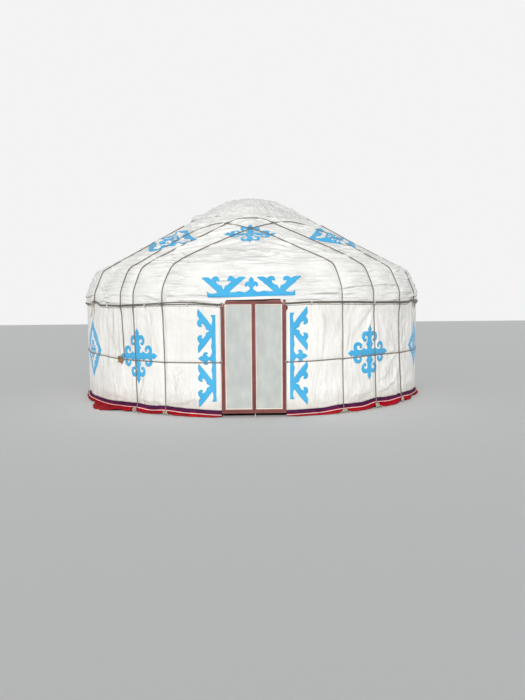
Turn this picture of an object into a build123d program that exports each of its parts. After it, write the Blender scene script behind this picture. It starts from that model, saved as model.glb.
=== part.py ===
"""A round felt tent (yurt) with a two-leaf door.

Millimetres. The origin is on the ground at the middle of the round wall, +Z is up and the
door faces -Y. Angles go round from the door: pole 0 stands over the middle of the door, and
bay n is the stretch of wall from pole n to pole n + 1, counted towards +X.
"""

import os
from math import asin, cos, hypot, radians, sin, sqrt, tan

from build123d import *

# How the wall is divided: one bay of cloth and lattice for each roof pole
POLE_COUNT = 42
BAY = 360 / POLE_COUNT
HALF_BAY = radians(BAY / 2)
DOOR_BAYS = 2
WALL_BAYS = POLE_COUNT - DOOR_BAYS
SEAT_GAP = 0.3

# Wall cover: felt and canvas hung round the lattice, whose top sets the heights above it
WALL_INSIDE_R = 3225
WALL_T = 15
WALL_BOTTOM = 95
LATTICE_TOP = 1690
WALL_TOP_RISE = 110
WALL_PIECES = ["front_right", "back_right", "back_left", "front_left"]
SKIRT_T = 8
SKIRT_FLARE = 70

# Roof cover, its hem, its rounded shoulder and its straight slope
ROOF_T = 12
HEM_DROP = 30
SHOULDER_START_RISE = 160
SHOULDER_RISE = 403
SHOULDER_RUN = 167
ROOF_SLOPE = 29.47
ROOF_TOP_R = 905
ROOF_PIECES = ["front", "right", "left"]

# Lattice wall of bent bars
LATTICE_PANELS = 8
BAR_W = 30
BAR_T = 16
BAR_BITE = 5
BAR_END_PAST = 80
BAR_LEAN_BAYS = 3

# Roof poles
POLE_W = 32
POLE_T = 40
POLE_PAST_ROOF = 45
FOOT_GAP = 2

# Crown
RING_W = 60
RING_T = 90
RIB_COUNT = 4
RIB_W = 40
RIB_T = 24
RIB_COVER_GAP = 8
RIB_RING_DROP = 16
RIB_BENDS = [560, 300, 100]
DOME_PAST_ROOF = 30
DOME_LIFT = 38
DOME_RISE = 282
CROWN_COVER_T = 10
CROWN_COVER_R = 1250

# Door frame and its two leaves
JAMB_DEPTH = 100
FRAME_RECESS = 5
JAMB_W = 24
FRAME_BOTTOM = 59
SILL_H = 28
HEADER_H = 36
HEADER_DEPTH = 55
HEM_NOTCH_GAP = 20
LINTEL_OVERHANG = 25
LEAF_GAP = 5
LEAF_T = 30
STILE_W = 24
PANEL_T = 8
BEAD_W = 14
BEAD_T = 6
COVER_STRIP_W = 26
COVER_STRIP_T = 10
COVER_STRIP_PAST = 17

# Door hinges: the leaf's knuckle stands on the jamb's, round the jamb's pin
HINGE_HEIGHTS = [330, 1420]
KNUCKLE_R = 8
KNUCKLE_L = 45
PIN_R = 4
PIN_CLEARANCE = 0.05
PIN_L = 38
HINGE_STANDOFF = 10
PLATE_W = 25
PLATE_T = 3

# Staples on the jambs, which the belt rope is tied to
STAPLE_W = 5
STAPLE_H = 36
STAPLE_PROUD = 16

# Shoot bolts on the right leaf
BOLT_W = 10
BOLT_X = 15
BOLT_L = 170
BOLT_GROUND_GAP = 8
BOLT_PAST_HEADER = 14
GUIDE_W = 22
GUIDE_H = 12
GUIDE_T = 3

# Ropes
ROPE_W = 16
EAVE_ROPE_TURNS = 2
EAVE_ROPE_RISE = 25
BELT_ROPE_Z = 820
ROPE_FOOT_Z = 110

os.makedirs("parts", exist_ok=True)


def save(part, name):
    part.label = name
    export_step(part, f"parts/{name}.step")


def azimuth(pole):
    """The direction of a pole, in degrees from +X."""
    return pole * BAY - 90


def parallel(line, shift):
    """A line of (r, z) points moved sideways to its right, with the corners mitred."""
    normals = []
    for (r0, z0), (r1, z1) in zip(line, line[1:]):
        length = hypot(r1 - r0, z1 - z0)
        normals.append(((z1 - z0) / length, (r0 - r1) / length))
    before = [normals[0]] + normals
    after = normals + [normals[-1]]
    moved = []
    for (r, z), (ar, az), (br, bz) in zip(line, before, after):
        stretch = shift / (1 + ar * br + az * bz)
        moved.append((r + stretch * (ar + br), z + stretch * (az + bz)))
    return moved


def strip(line, thickness):
    """The closed outline of a strip that lies on the right of a line."""
    return line + parallel(line, thickness)[::-1]


def round_of_flats(outline, first, count):
    """Flat lengths of one (r, z) outline, side by side round the tent.

    first is the pole at the start of the first flat, and may be a half.
    """
    reach = max(r for r, z in outline) * tan(HALF_BAY) + WALL_T
    with BuildPart() as flat:
        with BuildSketch(Plane.XZ):
            with BuildLine():
                Polyline(*outline, close=True)
            make_face()
        extrude(amount=reach, both=True)
        for side in (1, -1):
            edge = Plane(origin=(0, 0, 0), z_dir=(sin(HALF_BAY), side * cos(HALF_BAY), 0))
            split(bisect_by=edge, keep=Keep.TOP)
    with BuildPart() as ring:
        with PolarLocations(0, count, start_angle=azimuth(first + 0.5), angular_range=count * BAY):
            add(flat.part)
    return ring.part


# Lines of the roof in a bay's middle plane, from the eave up to the crown
slope = tan(radians(ROOF_SLOPE))
wall_outside_r = WALL_INSIDE_R + WALL_T
hem_r = wall_outside_r + SEAT_GAP + ROOF_T
hem_z = LATTICE_TOP - HEM_DROP
shoulder_start_z = LATTICE_TOP + SHOULDER_START_RISE
shoulder_end_r = hem_r - SHOULDER_RUN
shoulder_end_z = shoulder_start_z + SHOULDER_RISE
roof_outside = [
    (hem_r, hem_z),
    (hem_r, shoulder_start_z),
    (shoulder_end_r, shoulder_end_z),
    (ROOF_TOP_R, shoulder_end_z + (shoulder_end_r - ROOF_TOP_R) * slope),
]
roof_inside = parallel(roof_outside, -ROOF_T)


def roof_height(r):
    """Height of the roof cover's outside on its straight slope."""
    return shoulder_end_z + (shoulder_end_r - r) * slope


# Wall cover and the skirt below it
wall_outline = [
    (WALL_INSIDE_R, WALL_BOTTOM),
    (wall_outside_r, WALL_BOTTOM),
    (wall_outside_r, LATTICE_TOP + WALL_TOP_RISE),
    (WALL_INSIDE_R, LATTICE_TOP + WALL_TOP_RISE),
]
skirt_inside_r = WALL_INSIDE_R + (WALL_T - SKIRT_T) / 2
skirt_outline = [
    (skirt_inside_r + SKIRT_FLARE, 0),
    (skirt_inside_r + SKIRT_FLARE + SKIRT_T, 0),
    (skirt_inside_r + SKIRT_T, WALL_BOTTOM),
    (skirt_inside_r, WALL_BOTTOM),
]
piece_bays = WALL_BAYS // len(WALL_PIECES)
for number, side in enumerate(WALL_PIECES):
    first_bay = DOOR_BAYS // 2 + number * piece_bays
    save(round_of_flats(wall_outline, first_bay, piece_bays), f"wall_cover_{side}")
    save(round_of_flats(skirt_outline, first_bay, piece_bays), f"skirt_{side}")

# Lattice bars: each has a bend at half height and its ends on the round of its layer, and it
# crosses a bar of the other layer at both crossing heights
high_crossing_z = LATTICE_TOP - BAR_END_PAST
middle_z = (high_crossing_z + BAR_END_PAST) / 2
end_rise = LATTICE_TOP + BAR_W - middle_z
head_share = (high_crossing_z - middle_z) / end_rise
head_angle = radians(BAR_LEAN_BAYS * BAY) / 2
end_angle = head_angle + asin((1 / head_share - 1) * sin(head_angle))
layer_shift = (BAR_T - BAR_BITE) / 2
lattice_middle_r = WALL_INSIDE_R - SEAT_GAP - BAR_W / 2 * sin(end_angle) - BAR_T / 2 - layer_shift


def lattice_share(angle):
    """How far in the lattice's middle is at an angle from a bar's middle, as a share of its radius."""
    return cos(end_angle / 2) / cos(angle - end_angle / 2)


# The width that the lattice's ends leave for the door frame
inside_r = lattice_middle_r * lattice_share(HALF_BAY) - layer_shift - BAR_T / 2
frame_half = inside_r * sin(radians(BAY)) - SEAT_GAP
header_top = LATTICE_TOP + HEADER_H

# Roof cover in three pieces, the front one notched over the door
roof_bays = POLE_COUNT // len(ROOF_PIECES)
for number, side in enumerate(ROOF_PIECES):
    first_bay = -roof_bays // 2 + number * roof_bays
    with BuildPart() as roof_cover:
        add(round_of_flats(strip(roof_inside, ROOF_T), first_bay, roof_bays))
        if side == "front":
            with Locations((0, -hem_r, hem_z)):
                Box(
                    2 * (frame_half + 2 * SEAT_GAP),
                    4 * JAMB_DEPTH,
                    2 * (header_top + HEM_NOTCH_GAP - hem_z),
                    mode=Mode.SUBTRACT,
                )
    save(roof_cover.part, f"roof_cover_{side}")


def bar(middle_angle, layer_r, way):
    """One lattice bar, bent to the round wall in the plane of its own slant.

    It leans by way (1 or -1), and its middle is at middle_angle degrees.
    """
    a = radians(middle_angle)
    end_x = layer_r * sin(end_angle)
    end_u = hypot(end_x, end_rise)
    end_v = layer_r * cos(end_angle)
    along = Vector(-sin(a) * end_x * way, cos(a) * end_x * way, end_rise) / end_u
    outward = Vector(cos(a), sin(a), 0)
    bend_plane = Plane(origin=(0, 0, middle_z), x_dir=along, z_dir=along.cross(outward))
    half_t = BAR_T / 2
    with BuildPart() as piece:
        with BuildSketch(bend_plane):
            with BuildLine():
                Polyline(
                    (-end_u, end_v - half_t),
                    (0, layer_r - half_t),
                    (end_u, end_v - half_t),
                    (end_u, end_v + half_t),
                    (0, layer_r + half_t),
                    (-end_u, end_v + half_t),
                    close=True,
                )
            make_face()
        extrude(amount=BAR_W / 2, both=True)
    return piece.part


panel_bays = WALL_BAYS // LATTICE_PANELS
panel_angle = radians(panel_bays * BAY)
with BuildPart() as lattice_panel:
    for step in range(panel_bays + BAR_LEAN_BAYS + 1):
        middle_angle = (step - BAR_LEAN_BAYS / 2) * BAY
        add(bar(middle_angle, lattice_middle_r + layer_shift, 1))
        add(bar(middle_angle, lattice_middle_r - layer_shift, -1))
    split(bisect_by=Plane.XY, keep=Keep.TOP)
    split(bisect_by=Plane.XY.offset(LATTICE_TOP), keep=Keep.BOTTOM)
    split(bisect_by=Plane(origin=(0, 0, 0), z_dir=(0, 1, 0)), keep=Keep.TOP)
    far_side = Plane(origin=(0, 0, 0), z_dir=(sin(panel_angle), -cos(panel_angle), 0))
    split(bisect_by=far_side, keep=Keep.TOP)
for number in range(LATTICE_PANELS):
    turn = azimuth(DOOR_BAYS / 2 + number * panel_bays)
    with BuildPart() as panel:
        with Locations(Rotation(0, 0, turn)):
            add(lattice_panel.part)
    save(panel.part, f"lattice_{number + 1}")

# Roof poles: a leg in the fork of each lattice head, a bent knee and a straight run to the crown
pole_drop = POLE_W / 2 * tan(HALF_BAY) + 2 * SEAT_GAP
pole_top_r = ROOF_TOP_R - POLE_PAST_ROOF
knee_line = parallel([*roof_outside[1:3], (pole_top_r, roof_height(pole_top_r))], -ROOF_T)
(knee_r, knee_z), (bend_r, bend_z), (top_r, top_z) = knee_line
leg_top_z = knee_z + (knee_r - WALL_INSIDE_R) * (bend_z - knee_z) / (knee_r - bend_r)
chord = 2 * lattice_middle_r * sin(end_angle / 2)
fork_slope = chord * cos(head_angle - end_angle / 2) / end_rise
bar_reach = BAR_W / 2 * hypot(1, fork_slope)
foot_z = high_crossing_z + (POLE_W / 2 + bar_reach) / fork_slope + FOOT_GAP


def pole_outline(foot):
    """A pole's outline in its own plane, with its foot at a height."""
    line = [(WALL_INSIDE_R, foot), (WALL_INSIDE_R, leg_top_z), (bend_r, bend_z), (top_r, top_z)]
    line = [(r / cos(HALF_BAY) - pole_drop, z) for r, z in line]
    return strip(parallel(line, -POLE_T), POLE_T)


poles_a_piece = POLE_COUNT // len(ROOF_PIECES)
for number, side in enumerate(ROOF_PIECES):
    first_pole = -(poles_a_piece // 2) + number * poles_a_piece
    with BuildPart() as poles:
        for pole in range(first_pole, first_pole + poles_a_piece):
            over_door = abs(pole) <= DOOR_BAYS // 2
            foot = header_top + SEAT_GAP if over_door else foot_z
            with BuildSketch(Plane.XZ.rotated((0, 0, azimuth(pole)))):
                with BuildLine():
                    Polyline(*pole_outline(foot), close=True)
                make_face()
            extrude(amount=POLE_W / 2, both=True)
    save(poles.part, f"roof_poles_{side}")

# Crown ring: square to the poles that butt on it
pole_end = pole_outline(foot_z)[3:5]
pitch = radians(ROOF_SLOPE)
(low_r, low_z), (high_r, high_z) = pole_end
end_r = (low_r + high_r) / 2 - SEAT_GAP * cos(pitch)
end_z = (low_z + high_z) / 2 + SEAT_GAP * sin(pitch)
ring_bottom = (end_r - RING_T / 2 * sin(pitch), end_z - RING_T / 2 * cos(pitch))
ring_top = (end_r + RING_T / 2 * sin(pitch), end_z + RING_T / 2 * cos(pitch))
ring_outline = strip([ring_top, ring_bottom], RING_W)
save(round_of_flats(ring_outline, 0.5, POLE_COUNT), "crown_ring")

# Crown ribs: crossed bent bars that spring from the ring's inner face
dome_r = ROOF_TOP_R - DOME_PAST_ROOF
dome_top_z = roof_height(dome_r) + DOME_LIFT + DOME_RISE


def dome_height(r):
    """Height of the crown cover's outside over the ribs."""
    return dome_top_z - DOME_RISE * (r / dome_r) ** 2


rib_drop = CROWN_COVER_T + RIB_COVER_GAP
rib_foot_r = ring_top[0] - (RING_W + SEAT_GAP) * cos(pitch) - RIB_RING_DROP * sin(pitch)
rib_foot_z = ring_top[1] + (RING_W + SEAT_GAP) * sin(pitch) - RIB_RING_DROP * cos(pitch)
rib_half = [(rib_foot_r, rib_foot_z)]
rib_half += [(r, dome_height(r) - rib_drop) for r in RIB_BENDS]
rib_line = rib_half + [(-r, z) for r, z in rib_half[::-1]]
with BuildPart() as crown_ribs:
    for number in range(RIB_COUNT):
        with BuildSketch(Plane.XZ.rotated((0, 0, number * 180 / RIB_COUNT))):
            with BuildLine():
                Polyline(*strip(parallel(rib_line, -RIB_T), RIB_T), close=True)
            make_face()
        extrude(amount=RIB_W / 2, both=True)
save(crown_ribs.part, "crown_ribs")

# Crown cover: a many-sided dome of cloth over the ring and ribs, lying on the roof cover
cover_inside = [(CROWN_COVER_R, roof_height(CROWN_COVER_R) + SEAT_GAP / cos(pitch))]
cover_inside += [(r, dome_height(r) - CROWN_COVER_T) for r in (dome_r, *RIB_BENDS)]
cover_inside += [(0, dome_height(RIB_BENDS[-1]) - CROWN_COVER_T)]
cover_outline = strip(cover_inside, CROWN_COVER_T)
save(round_of_flats(cover_outline, 0, POLE_COUNT), "crown_cover")


# Door frame, which hangs from the lattice a little above the ground
def block(corner, far_corner, mode=Mode.ADD):
    """A box between two opposite corners."""
    sizes = [abs(b - a) for a, b in zip(corner, far_corner)]
    middle = [(a + b) / 2 for a, b in zip(corner, far_corner)]
    with Locations(tuple(middle)):
        Box(*sizes, mode=mode)


frame_front_y = -wall_outside_r
jamb_back_y = frame_front_y + JAMB_DEPTH
recessed_y = frame_front_y + FRAME_RECESS
header_back_y = recessed_y + HEADER_DEPTH
sill_top = FRAME_BOTTOM + SILL_H
opening_half = frame_half - JAMB_W
for side, way in (("left", -1), ("right", 1)):
    with BuildPart() as jamb:
        block(
            (way * opening_half, frame_front_y, sill_top),
            (way * frame_half, jamb_back_y, LATTICE_TOP),
        )
    save(jamb.part, f"door_jamb_{side}")
with BuildPart() as door_sill:
    block((-frame_half, recessed_y, FRAME_BOTTOM), (frame_half, jamb_back_y, sill_top))
save(door_sill.part, "door_sill")
with BuildPart() as door_header:
    block((-frame_half, recessed_y, LATTICE_TOP), (frame_half, header_back_y, header_top))
save(door_header.part, "door_header")
lintel_half = frame_half + LINTEL_OVERHANG
with BuildPart() as door_lintel:
    block(
        (-lintel_half, header_back_y, LATTICE_TOP + SEAT_GAP),
        (lintel_half, jamb_back_y, header_top),
    )
save(door_lintel.part, "door_lintel")

# Door leaves: a framed panel each, with a cover strip on the meeting stile
leaf_outer_x = opening_half - LEAF_GAP
leaf_inner_x = LEAF_GAP / 2
leaf_bottom = sill_top + LEAF_GAP
leaf_top = LATTICE_TOP - LEAF_GAP
leaf_back_y = frame_front_y + LEAF_T
strip_front_y = frame_front_y - COVER_STRIP_T
panel_outer_x = leaf_outer_x - STILE_W
panel_inner_x = leaf_inner_x + STILE_W
panel_bottom = leaf_bottom + STILE_W
panel_top = leaf_top - STILE_W
panel_front_y = frame_front_y + LEAF_T / 2 - PANEL_T / 2
bead_back_y = panel_front_y - SEAT_GAP
hinge_x = opening_half - LEAF_GAP / 2
hinge_y = frame_front_y - HINGE_STANDOFF
for side, way in (("left", -1), ("right", 1)):
    with BuildPart() as leaf_frame:
        block(
            (way * leaf_inner_x, frame_front_y, leaf_bottom),
            (way * leaf_outer_x, leaf_back_y, leaf_top),
        )
        block(
            (way * panel_inner_x, frame_front_y, panel_bottom),
            (way * panel_outer_x, leaf_back_y, panel_top),
            mode=Mode.SUBTRACT,
        )
        block(
            (way * leaf_inner_x, strip_front_y, leaf_bottom - COVER_STRIP_PAST),
            (way * (leaf_inner_x + COVER_STRIP_W), frame_front_y, leaf_top + COVER_STRIP_PAST),
        )
    save(leaf_frame.part, f"{side}_leaf_frame")
    with BuildPart() as leaf_panel:
        block(
            (way * (panel_inner_x + SEAT_GAP), panel_front_y, panel_bottom + SEAT_GAP),
            (way * (panel_outer_x - SEAT_GAP), panel_front_y + PANEL_T, panel_top - SEAT_GAP),
        )
    save(leaf_panel.part, f"{side}_leaf_panel")
    with BuildPart() as leaf_beads:
        block(
            (way * (panel_inner_x + SEAT_GAP), bead_back_y - BEAD_T, panel_bottom + SEAT_GAP),
            (way * (panel_outer_x - SEAT_GAP), bead_back_y, panel_top - SEAT_GAP),
        )
        block(
            (way * (panel_inner_x + BEAD_W), bead_back_y - BEAD_T, panel_bottom + BEAD_W),
            (way * (panel_outer_x - BEAD_W), bead_back_y, panel_top - BEAD_W),
            mode=Mode.SUBTRACT,
        )
    save(leaf_beads.part, f"{side}_leaf_beads")
    with BuildPart() as leaf_hinges:
        for height in HINGE_HEIGHTS:
            with Locations((way * hinge_x, hinge_y, height + SEAT_GAP)):
                Cylinder(KNUCKLE_R, KNUCKLE_L, align=(Align.CENTER, Align.CENTER, Align.MIN))
            block(
                (way * (hinge_x - PLATE_W), frame_front_y - PLATE_T, height + SEAT_GAP),
                (way * hinge_x, frame_front_y, height + SEAT_GAP + KNUCKLE_L),
            )
            with Locations((way * hinge_x, hinge_y, height + SEAT_GAP)):
                Cylinder(
                    PIN_R + PIN_CLEARANCE,
                    PIN_L,
                    align=(Align.CENTER, Align.CENTER, Align.MIN),
                    mode=Mode.SUBTRACT,
                )
    save(leaf_hinges.part, f"{side}_leaf_hinges")
    with BuildPart() as jamb_hinges:
        for height in HINGE_HEIGHTS:
            with Locations((way * hinge_x, hinge_y, height)):
                Cylinder(KNUCKLE_R, KNUCKLE_L, align=(Align.CENTER, Align.CENTER, Align.MAX))
                Cylinder(PIN_R, PIN_L, align=(Align.CENTER, Align.CENTER, Align.MIN))
            block(
                (way * hinge_x, frame_front_y - PLATE_T, height - KNUCKLE_L),
                (way * (hinge_x + PLATE_W), frame_front_y, height),
            )
    save(jamb_hinges.part, f"{side}_jamb_hinges")

# Shoot bolts of the right leaf, each in a guide on its cover strip
bolt_back_y = strip_front_y - SEAT_GAP
bolt_front_y = bolt_back_y - BOLT_W
with BuildPart() as leaf_bolts:
    low_end = BOLT_GROUND_GAP
    high_end = header_top + BOLT_PAST_HEADER
    for bottom in (low_end, high_end - BOLT_L):
        block(
            (BOLT_X - BOLT_W / 2, bolt_front_y, bottom),
            (BOLT_X + BOLT_W / 2, bolt_back_y, bottom + BOLT_L),
        )
    for height in (low_end + BOLT_L - GUIDE_H, high_end - BOLT_L + GUIDE_H):
        block(
            (BOLT_X - GUIDE_W / 2, bolt_front_y - GUIDE_T, height - GUIDE_H / 2),
            (BOLT_X + GUIDE_W / 2, strip_front_y, height + GUIDE_H / 2),
        )
save(leaf_bolts.part, "right_leaf_bolts")

# A staple on each jamb at the height of the belt rope
staple_front_y = frame_front_y - STAPLE_PROUD
staple_inner_x = opening_half + JAMB_W / 2
staple_low_z = BELT_ROPE_Z + ROPE_W / 2 - STAPLE_H / 2
with BuildPart() as door_staples:
    for way in (-1, 1):
        block(
            (way * staple_inner_x, staple_front_y, staple_low_z),
            (way * (staple_inner_x + STAPLE_W), frame_front_y, staple_low_z + STAPLE_H),
        )
        block(
            (way * staple_inner_x, staple_front_y + STAPLE_W, staple_low_z + STAPLE_W),
            (way * (staple_inner_x + STAPLE_W), frame_front_y, staple_low_z + STAPLE_H - STAPLE_W),
            mode=Mode.SUBTRACT,
        )
save(door_staples.part, "door_staples")


# Ropes round the wall: two turns at the eave and one at the height of a belt
def rope_round(bottom, inside_r, turns):
    """The outline of turns of rope, one on the other, that go round the tent."""
    return [
        (inside_r, bottom),
        (inside_r + ROPE_W, bottom),
        (inside_r + ROPE_W, bottom + turns * ROPE_W),
        (inside_r, bottom + turns * ROPE_W),
    ]


eave_rope_z = hem_z + EAVE_ROPE_RISE
eave_outline = rope_round(eave_rope_z, hem_r + SEAT_GAP, EAVE_ROPE_TURNS)
save(round_of_flats(eave_outline, DOOR_BAYS / 2, WALL_BAYS), "eave_rope")
belt_outline = rope_round(BELT_ROPE_Z, wall_outside_r + SEAT_GAP, 1)
save(round_of_flats(belt_outline, DOOR_BAYS / 2, WALL_BAYS), "belt_rope")

# Upright ropes on the wall, from a little above the ground to the belt and on to the eave.
# Their places are in bays from the door, and the back half is the front half turned round
CROWN_ROPES = [-6.65, 7.12]
ROOF_ROPES = [
    [(-2.8, 2.73), (-2, 2.42), (-1, 2.02), (0, 1.77), (1, 1.63), (2, 1.52), (3, 1.44), (4, 1.48),
     (5, 1.6), (5.72, 1.83)],
    [(-4.58, 2.05), (-4, 1.74), (-3, 1.55), (-2, 1.54), (-1, 1.65), (0, 1.79), (1, 2.02),
     (2, 2.43), (2.92, 2.8)],
    [(-3.97, 2.64), (-3, 2.03), (-2, 1.59), (-1, 1.36), (0, 1.34), (1, 1.37), (2, 1.66),
     (3, 2.03), (4, 2.53), (4.13, 2.6)],
]
wall_rope_places = CROWN_ROPES + [route[end][0] for route in ROOF_ROPES for end in (0, -1)]
belt_top_z = BELT_ROPE_Z + ROPE_W
rope_lines = [
    [(wall_outside_r, ROPE_FOOT_Z), (wall_outside_r, BELT_ROPE_Z - SEAT_GAP)],
    [(wall_outside_r, belt_top_z + SEAT_GAP), (hem_r, hem_z), (hem_r, eave_rope_z - SEAT_GAP)],
]
with BuildPart() as wall_ropes:
    for place in wall_rope_places:
        for back in (0, POLE_COUNT / 2):
            bay_middle = place // 1 + 0.5
            aside = wall_outside_r * tan(radians((place - bay_middle) * BAY))
            upright = Plane.XZ.rotated((0, 0, azimuth(bay_middle + back))).offset(-aside)
            for line in rope_lines:
                with BuildSketch(upright):
                    with BuildLine():
                        Polyline(*strip(parallel(line, SEAT_GAP), ROPE_W), close=True)
                    make_face()
                extrude(amount=ROPE_W / 2, both=True)
save(wall_ropes.part, "wall_ropes")


# Roof ropes: each goes up from the eave, slants over the front of the roof and down again. They
# bend at every pole, so that they clear the corners that the roof cover has there
rope_lift = SEAT_GAP + ROPE_W / sqrt(2)
rope_foot, *rope_knees, rope_top = parallel(roof_outside, rope_lift)
rope_foot = (rope_foot[0], eave_rope_z + EAVE_ROPE_TURNS * ROPE_W + SEAT_GAP)


def rope_point(place, r, z):
    """A point of a rope at a place in bays from the door, where r is that of the flat below it."""
    bay_middle = place // 1 + 0.5
    direction = radians(azimuth(bay_middle))
    out = Vector(cos(direction), sin(direction), 0)
    aside = Vector(-sin(direction), cos(direction), 0)
    return out * r + aside * r * tan(radians((place - bay_middle) * BAY)) + Vector(0, 0, z)


def rope_height(r):
    """Height of a rope's middle over the straight slope of the roof."""
    return rope_knees[-1][1] + (rope_knees[-1][0] - r) * slope


def taut_rope(places):
    """A square rope through (place, r, z) points."""
    points = [rope_point(*place) for place in places]
    with BuildPart() as rope:
        with BuildLine() as route:
            Polyline(*points)
        with BuildSketch(Plane(origin=points[0], z_dir=points[1] - points[0])):
            Rectangle(ROPE_W, ROPE_W, rotation=azimuth(places[0][0]))
        sweep(path=route.wires()[0], transition=Transition.RIGHT)
    return rope.part


crown_rope_top = CROWN_COVER_R + CROWN_COVER_T + ROPE_W
with BuildPart() as roof_ropes:
    for place in CROWN_ROPES:
        ends = [rope_foot, *rope_knees, (crown_rope_top, rope_height(crown_rope_top))]
        add(taut_rope([(place, *end) for end in ends]))
    for route in ROOF_ROPES:
        (start, _), *_, (end, _) = route
        up = [(start, *end_point) for end_point in (rope_foot, *rope_knees)]
        over = [(place, r * 1000, rope_height(r * 1000)) for place, r in route]
        down = [(end, *end_point) for end_point in (*rope_knees[::-1], rope_foot)]
        add(taut_rope(up + over + down))
save(roof_ropes.part, "roof_ropes_front")
with BuildPart() as back_ropes:
    with Locations(Rotation(0, 0, 180)):
        add(roof_ropes.part)
save(back_ropes.part, "roof_ropes_back")
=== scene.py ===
# %% [markdown]
# A yurt, dressed over its CAD frame. The CAD model gives the wood, the door and the size. This
# script adds what CAD is poor at: cloth with folds, sewn-on ornaments, twisted ropes and finishes.

# %% Load the frame
import bisect
import math

import bmesh
import bpy
from mathutils import Matrix, Vector, kdtree, noise


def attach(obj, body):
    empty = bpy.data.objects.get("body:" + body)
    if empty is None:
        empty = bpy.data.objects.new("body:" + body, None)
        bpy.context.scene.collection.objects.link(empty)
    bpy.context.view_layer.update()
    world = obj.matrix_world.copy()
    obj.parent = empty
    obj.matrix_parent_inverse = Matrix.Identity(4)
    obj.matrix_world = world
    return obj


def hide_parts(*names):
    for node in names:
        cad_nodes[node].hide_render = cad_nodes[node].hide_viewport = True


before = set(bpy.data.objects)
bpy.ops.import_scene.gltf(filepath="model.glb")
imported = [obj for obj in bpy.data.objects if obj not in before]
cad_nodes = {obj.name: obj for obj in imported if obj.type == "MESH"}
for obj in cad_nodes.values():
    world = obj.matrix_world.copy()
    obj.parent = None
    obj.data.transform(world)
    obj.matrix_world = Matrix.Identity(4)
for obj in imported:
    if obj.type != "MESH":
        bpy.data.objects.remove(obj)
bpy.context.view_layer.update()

# %% [markdown]
# The camera stands where the photographer stood: a phone lens at eye height, about eleven metres
# from the middle of the tent, looking a little down. A pinhole camera fitted to the tent's outline
# gave these numbers, so pieces can be compared with the photo pixel by pixel.

# %% Camera
CAMERA_PLACE = (-0.03, -10.94, 1.56)
CAMERA_PITCH = 4.21
CAMERA_YAW = 1.18
CAMERA_ROLL = 0.5
FOCAL_PIXELS = 528
IMAGE_HEIGHT = 700
camera = bpy.data.objects.new("camera", bpy.data.cameras.new("camera"))
bpy.context.scene.collection.objects.link(camera)
camera.data.sensor_fit = "VERTICAL"
camera.data.sensor_height = 36
camera.data.lens = 36 * FOCAL_PIXELS / IMAGE_HEIGHT
camera.data.clip_end = 200
camera.matrix_world = (
    Matrix.Translation(CAMERA_PLACE)
    @ Matrix.Rotation(math.radians(-CAMERA_YAW), 4, "Z")
    @ Matrix.Rotation(math.radians(90 - CAMERA_PITCH), 4, "X")
    @ Matrix.Rotation(math.radians(-CAMERA_ROLL), 4, "Z")
)
bpy.context.scene.camera = camera
bpy.context.scene.view_settings.view_transform = "Standard"
print("lens", round(camera.data.lens, 2), "mm")

# %% [markdown]
# Every finish below is a small node tree. One function adds a node with its settings and joins its
# inputs, and another turns the hex colours of a paint chart into linear light.

# %% Material helpers
RANGE = ("Value", "From Min", "From Max", "To Min", "To Max")


def linear(code):
    """A hex sRGB colour as linear red, green, blue and alpha."""
    parts = [int(code[i:i + 2], 16) / 255 for i in (1, 3, 5)]
    return [c / 12.92 if c < 0.04045 else ((c + 0.055) / 1.055) ** 2.4 for c in parts] + [1.0]


def feed(tree, node, inputs):
    """Sets each input to a value, to an output, or to the first output of another node."""
    for name, value in inputs.items():
        if isinstance(value, bpy.types.Node):
            value = next(output for output in value.outputs if output.enabled)
        if isinstance(value, bpy.types.NodeSocket):
            tree.links.new(value, node.inputs[name])
        else:
            node.inputs[name].default_value = value


def add_node(tree, kind, inputs=None, stops=(), **settings):
    """Adds a node with its settings and inputs; a colour ramp has (place, hex colour) stops."""
    node = tree.nodes.new(f"ShaderNode{kind}")
    for name, value in settings.items():
        setattr(node, name, value)
    for number, (place, code) in enumerate(stops):
        node.color_ramp.elements[number].position = place
        node.color_ramp.elements[number].color = linear(code)
    feed(tree, node, inputs or {})
    return node


def new_finish(name, roughness, **sockets):
    """An empty material; returns it, its tree, its shader and the places on the object."""
    material = bpy.data.materials.new(name)
    material.use_nodes = True
    tree = material.node_tree
    shader = tree.nodes["Principled BSDF"]
    sockets["Roughness"] = roughness
    feed(tree, shader, {socket.replace("_", " "): value for socket, value in sockets.items()})
    return material, tree, shader, add_node(tree, "TexCoord").outputs["Object"]


def two_toned(name, roughness, cloud, tones, nap=None, **sockets):
    """A finish that drifts between two tones; nap is a noise, a strength and a depth in metres."""
    material, tree, shader, place = new_finish(name, roughness, **sockets)
    drift = add_node(tree, "TexNoise", {"Vector": place, **cloud})
    feed(tree, shader, {"Base Color": add_node(tree, "ValToRGB", {"Fac": drift}, tones)})
    if nap:
        fuzz = add_node(tree, "TexNoise", {"Vector": place, **nap[0]})
        bump = add_node(tree, "Bump", {"Height": fuzz, "Strength": nap[1], "Distance": nap[2]})
        feed(tree, shader, {"Normal": bump})
    return material


# %% [markdown]
# The tent is round, so places on it are given as an azimuth in degrees from the door's middle,
# to the right as seen from outside, and a height. `around` turns that into a point.

# %% Places round the tent
def around(azimuth, radius, height):
    turn = math.radians(azimuth)
    return Vector((radius * math.sin(turn), -radius * math.cos(turn), height))


def rise(value, start, end):
    """A smooth step from 0 at start to 1 at end."""
    share = min(max((value - start) / (end - start), 0.0), 1.0)
    return share * share * (3 - 2 * share)


def between(value, table):
    """Reads a smooth line through (place, value) pairs."""
    for (a, low), (b, high) in zip(table, table[1:]):
        if value <= b:
            return low + (high - low) * rise(value, a, b)
    return table[-1][1]


WALL_R = 3.244
WALL_TOP = 1.795
HEM_Z = 1.645
DOOR_EDGE = 8.47
CANVAS_T = 0.006
ROPE_R = 0.008

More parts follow.
